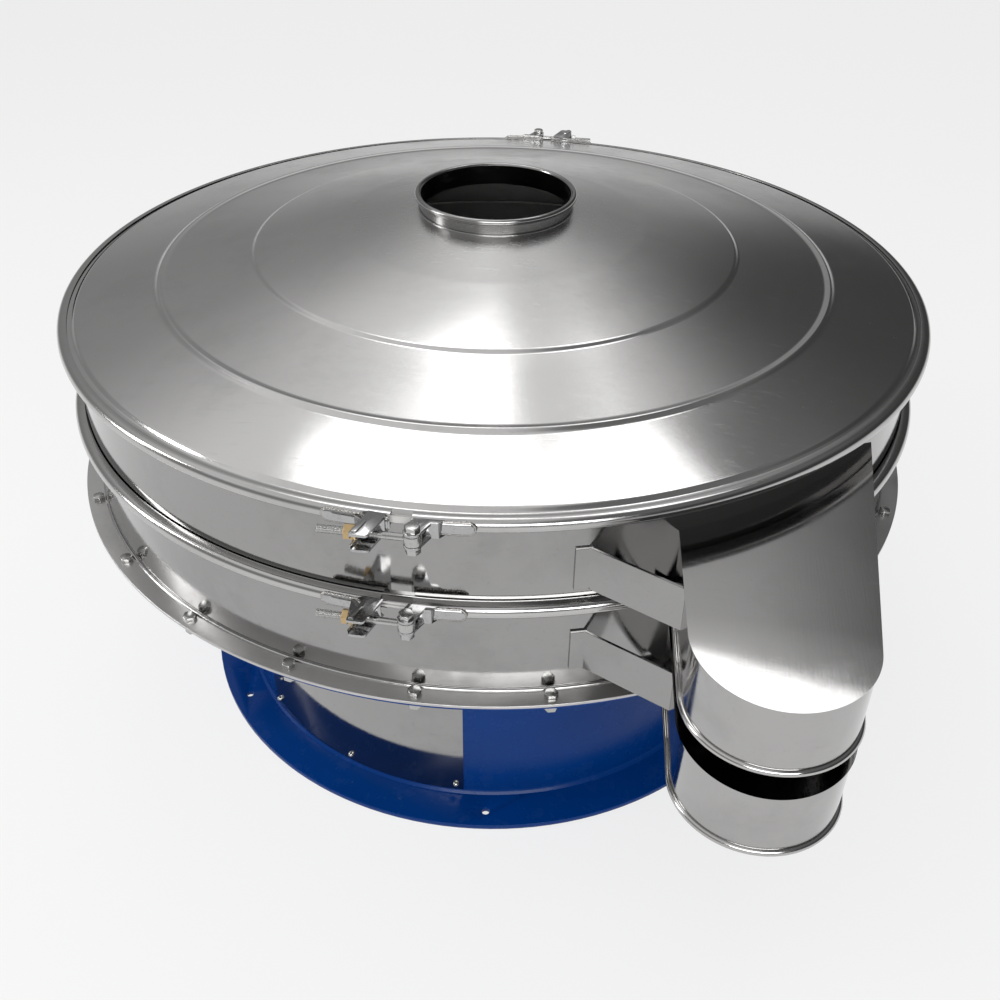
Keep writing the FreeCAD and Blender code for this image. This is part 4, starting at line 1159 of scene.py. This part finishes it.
@dataclass
class Base:
    """Painted foot flange and drum, with the polished access panel and its screws."""

    drum_radius: float = 0.518
    drum_gauge: float = 0.006
    weld_leg: float = 0.007
    panel_span: Point = (-46.6, 3.4)
    panel_gauge: float = 0.002

    def build(self) -> list[bpy.types.Object]:
        """Make the drum, the foot and the panel.

        Returns:
            The pieces.
        """
        blue = BASE_BLUE.material()
        low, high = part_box("base_drum")
        inner = self.drum_radius - self.drum_gauge
        corners = [(inner, low.z), (self.drum_radius + self.weld_leg, low.z),
                   (self.drum_radius, low.z + self.weld_leg), (self.drum_radius, high.z), (inner, high.z)]
        shape = spun(rounded(corners, [0, 0.002, 0.004, 0.001, 0.001], 4), True, steps=300)
        barrel = new_piece("drum_shell", shape, blue, 40.0)
        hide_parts("base_drum")
        panel_low, panel_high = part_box("access_panel")
        face = self.drum_radius + self.panel_gauge
        section = rounded([(self.drum_radius, panel_low.z), (face, panel_low.z), (face, panel_high.z),
                           (self.drum_radius, panel_high.z)], [0, 0.0006, 0.0006, 0], 3)
        sweep = self.panel_span[1] - self.panel_span[0]
        shape = spun(section, True, self.panel_span[0] - 90.0, sweep, 100)
        panel = new_piece("panel_sheet", shape, PANEL_STEEL.material(), 40.0)
        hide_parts("access_panel")
        foot = smooth_copy("foot_flange", blue, 0.0012)
        ring = smooth_copy("base_ring", blue, 0.0010)
        screws = smooth_copy("panel_screws", BOLT_STEEL.material(), 0.0003)
        pieces = [barrel, panel, foot, ring, screws]
        for piece in pieces:
            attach(piece, "base")
        return pieces


FITTINGS = (("ring_steel", WALL_STEEL, ("upper_strut", "lower_strut")),
            ("bolt_steel", BOLT_STEEL, ("flange_bolts", "flange_nuts", "motor_bolts")))
HIDDEN = ((BASE_BLUE, ("table", "lower_spring_seats", "upper_spring_seats", "motor_housing", "terminal_box")),
          (SPRING_BLACK, ("springs",)),
          (INNER_STEEL, ("screen_frame", "ball_deck", "motor_shaft", "rotor_core", "stator", "lower_bearing",
                         "upper_bearing", "lower_bearing_cap", "upper_bearing_cap", "lower_weight",
                         "upper_weight", "fines_dome")),
          (SEAL_SILICONE, ("top_gasket", "screen_lower_gasket", "screen_upper_gasket")),
          (BALL_RUBBER, ("cleaning_balls",)),
          (SCREEN_CLOTH, ("screen_mesh",)))


class Fittings:
    """Small parts that keep their modelled shape, with broken edges and their own finish."""

    edge_break = 0.0004
    sharp = 24.0

    def build(self) -> list[bpy.types.Object]:
        """Copy, bevel and dress each node.

        Returns:
            The copies.
        """
        bodies = frame["record"]["behaviour"]["bodies"]
        owner = {node: body for body, nodes in bodies.items() for node in nodes}
        pieces = []
        for slot, finish, nodes in FITTINGS:
            for node in nodes:
                piece = smooth_copy(node, finish.material(), self.edge_break, None, self.sharp)
                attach(piece, owner[node])
                pieces.append(piece)
        return pieces


class Dressed:
    """Nodes whose own mesh is kept, given materials."""

    def build(self) -> list[bpy.types.Object]:
        """Assign the hidden nodes' materials.

        Returns:
            The nodes.
        """
        pieces = []
        for finish, nodes in HIDDEN:
            for node in nodes:
                piece = frame["nodes"][node]
                piece.data.materials.clear()
                piece.data.materials.append(finish.material())
                pieces.append(piece)
        return pieces


@dataclass(frozen=True)
class Lamp:
    """One soft rectangular lamp."""

    name: str
    place: tuple[float, float, float]
    size: Point
    power: float
    target: tuple[float, float, float] = (0.0, 0.0, 0.7)

    def build(self) -> None:
        """Hang the lamp and point it at its target."""
        data = bpy.data.lights.new(self.name, "AREA")
        data.shape = "RECTANGLE"
        data.size, data.size_y = self.size
        data.energy = self.power
        lamp = bpy.data.objects.new(self.name, data)
        lamp.location = self.place
        lamp.rotation_euler = (Vector(self.target) - lamp.location).to_track_quat("-Z", "Y").to_euler()
        bpy.context.scene.collection.objects.link(lamp)


SOFTBOXES = (
    Lamp("rear_softbox_left", (-0.78, 1.35, 4.2), (1.62, 1.0), 13.0),
    Lamp("rear_softbox_right", (0.88, 1.35, 4.2), (1.30, 1.0), 10.0),
    Lamp("front_softbox", (0.9, -4.6, 2.9), (4.0, 1.8), 150.0),
    Lamp("side_softbox", (-4.2, -0.8, 2.4), (0.8, 2.6), 50.0),
)


@dataclass
class Studio:
    """Floor, surroundings, lamps and camera."""

    camera_height: float = 1.6503
    camera_x: float = 0.2902
    camera_y: float = -1.8321
    tilt: float = 54.0
    heading: float = 8.578
    roll: float = 0.702
    lens: float = 39.85
    floor_shade: float = 0.80
    floor_glow: float = 0.74
    dark_side: float = 0.22
    far_dim: float = 0.55
    backdrop: float = 0.88
    lift: tuple[Point, ...] = ((0.48, 0.46), (0.53, 0.42), (0.56, 0.34), (0.62, 0.27), (0.74, 0.33),
                               (0.80, 0.50), (0.86, 0.85), (1.0, 0.80))

    def seen(self, shader: Shader) -> Socket:
        """1 where the camera, a reflection or a glass sees the surface."""
        node = shader.raw("LightPath", {}, {})
        rays = [Socket(shader, node.outputs[name]) for name in ("Is Camera Ray", "Is Glossy Ray",
                                                                "Is Transmission Ray")]
        return (rays[0] + rays[1] + rays[2]).clamped()

    def floor(self) -> None:
        """A wide pale floor that keeps the machine's shadow."""
        shape = bmesh.new()
        bmesh.ops.create_grid(shape, x_segments=1, y_segments=1, size=40.0)
        shader = Shader(bpy.data.materials.new("floor_paint"))
        floor = new_piece("floor", shape, shader.holder)
        matt = shader.node("BsdfDiffuse", {}, {"Color": grey(self.floor_shade)})
        glow = shader.node("Emission", {}, {"Color": grey(1.0), "Strength": 1.0})
        x, y, _ = shader.parts(shader.place())
        far = ((x * x + y * y) ** 0.5).above(8.0, 4.0)
        mirrored = shader.node("LightPath", {}, {}, "Is Glossy Ray")
        share = self.seen(shader) * (1.0 - far * mirrored * self.far_dim) * self.floor_glow
        both = shader.node("MixShader", {}, {0: share, 1: matt, 2: glow})
        shader.raw("OutputMaterial", {}, {"Surface": both})

    def surroundings(self) -> None:
        """A pale horizon under a greyer ceiling, darker to the right."""
        world = bpy.data.worlds.new("studio")
        bpy.context.scene.world = world
        shader = Shader(world)
        x, _, z = shader.parts(shader.node("TexCoord", {}, {}, "Generated"))
        side = x.above(0.17, 0.10) * z.above(0.08, 0.08)
        strength = shader.ramp(z * 0.5 + 0.5, self.lift) * (1.0 - side * (1.0 - self.dark_side))
        watched = shader.node("LightPath", {}, {}, "Is Camera Ray")
        strength = strength * (1.0 - watched) + watched * self.backdrop
        sky = shader.node("Background", {}, {"Color": grey(1.0), "Strength": strength})
        shader.raw("OutputWorld", {}, {"Surface": sky})

    def camera(self) -> None:
        """The camera at a standing person's eye height."""
        data = bpy.data.cameras.new("camera")
        data.lens = self.lens
        data.sensor_width = 36.0
        camera = bpy.data.objects.new("camera", data)
        turn = (Matrix.Rotation(math.radians(self.heading), 4, "Z")
                @ Matrix.Rotation(math.radians(self.tilt), 4, "X")
                @ Matrix.Rotation(math.radians(self.roll), 4, "Z"))
        camera.matrix_world = Matrix.Translation((self.camera_x, self.camera_y, self.camera_height)) @ turn
        bpy.context.scene.collection.objects.link(camera)
        bpy.context.scene.camera = camera

    def build(self) -> None:
        """Set the whole stage."""
        bpy.context.scene.view_settings.view_transform = "Standard"
        self.floor()
        self.surroundings()
        for lamp in SOFTBOXES:
            lamp.build()
        self.camera()


def main() -> None:
    """Build every sub-assembly in order and report its pieces."""
    assemblies = [Base(), Wall("lower_frame", lower_profile), Flange(), Wall("upper_frame", upper_profile),
                  Lid(), Neck(), Outlet("upper", floor_height=0.672), Outlet("lower", floor_height=0.512)]
    for which, gap, turn in (("top", 2.2, 0.0), ("mid", 3.4, -1.0)):
        assemblies += [HalfRing(which, side, gap, turn) for side in ("left", "right")]
        assemblies += [Closure(which, False, turn, gap), Closure(which, True, turn, 1.6)]
    assemblies += [Fittings(), Dressed()]
    for assembly in assemblies:
        for piece in assembly.build():
            LOG.info("%s: %s", type(assembly).__name__, piece.name)
    Studio().build()


if __name__ == "__main__":
    logging.basicConfig(level=logging.INFO)
    main()
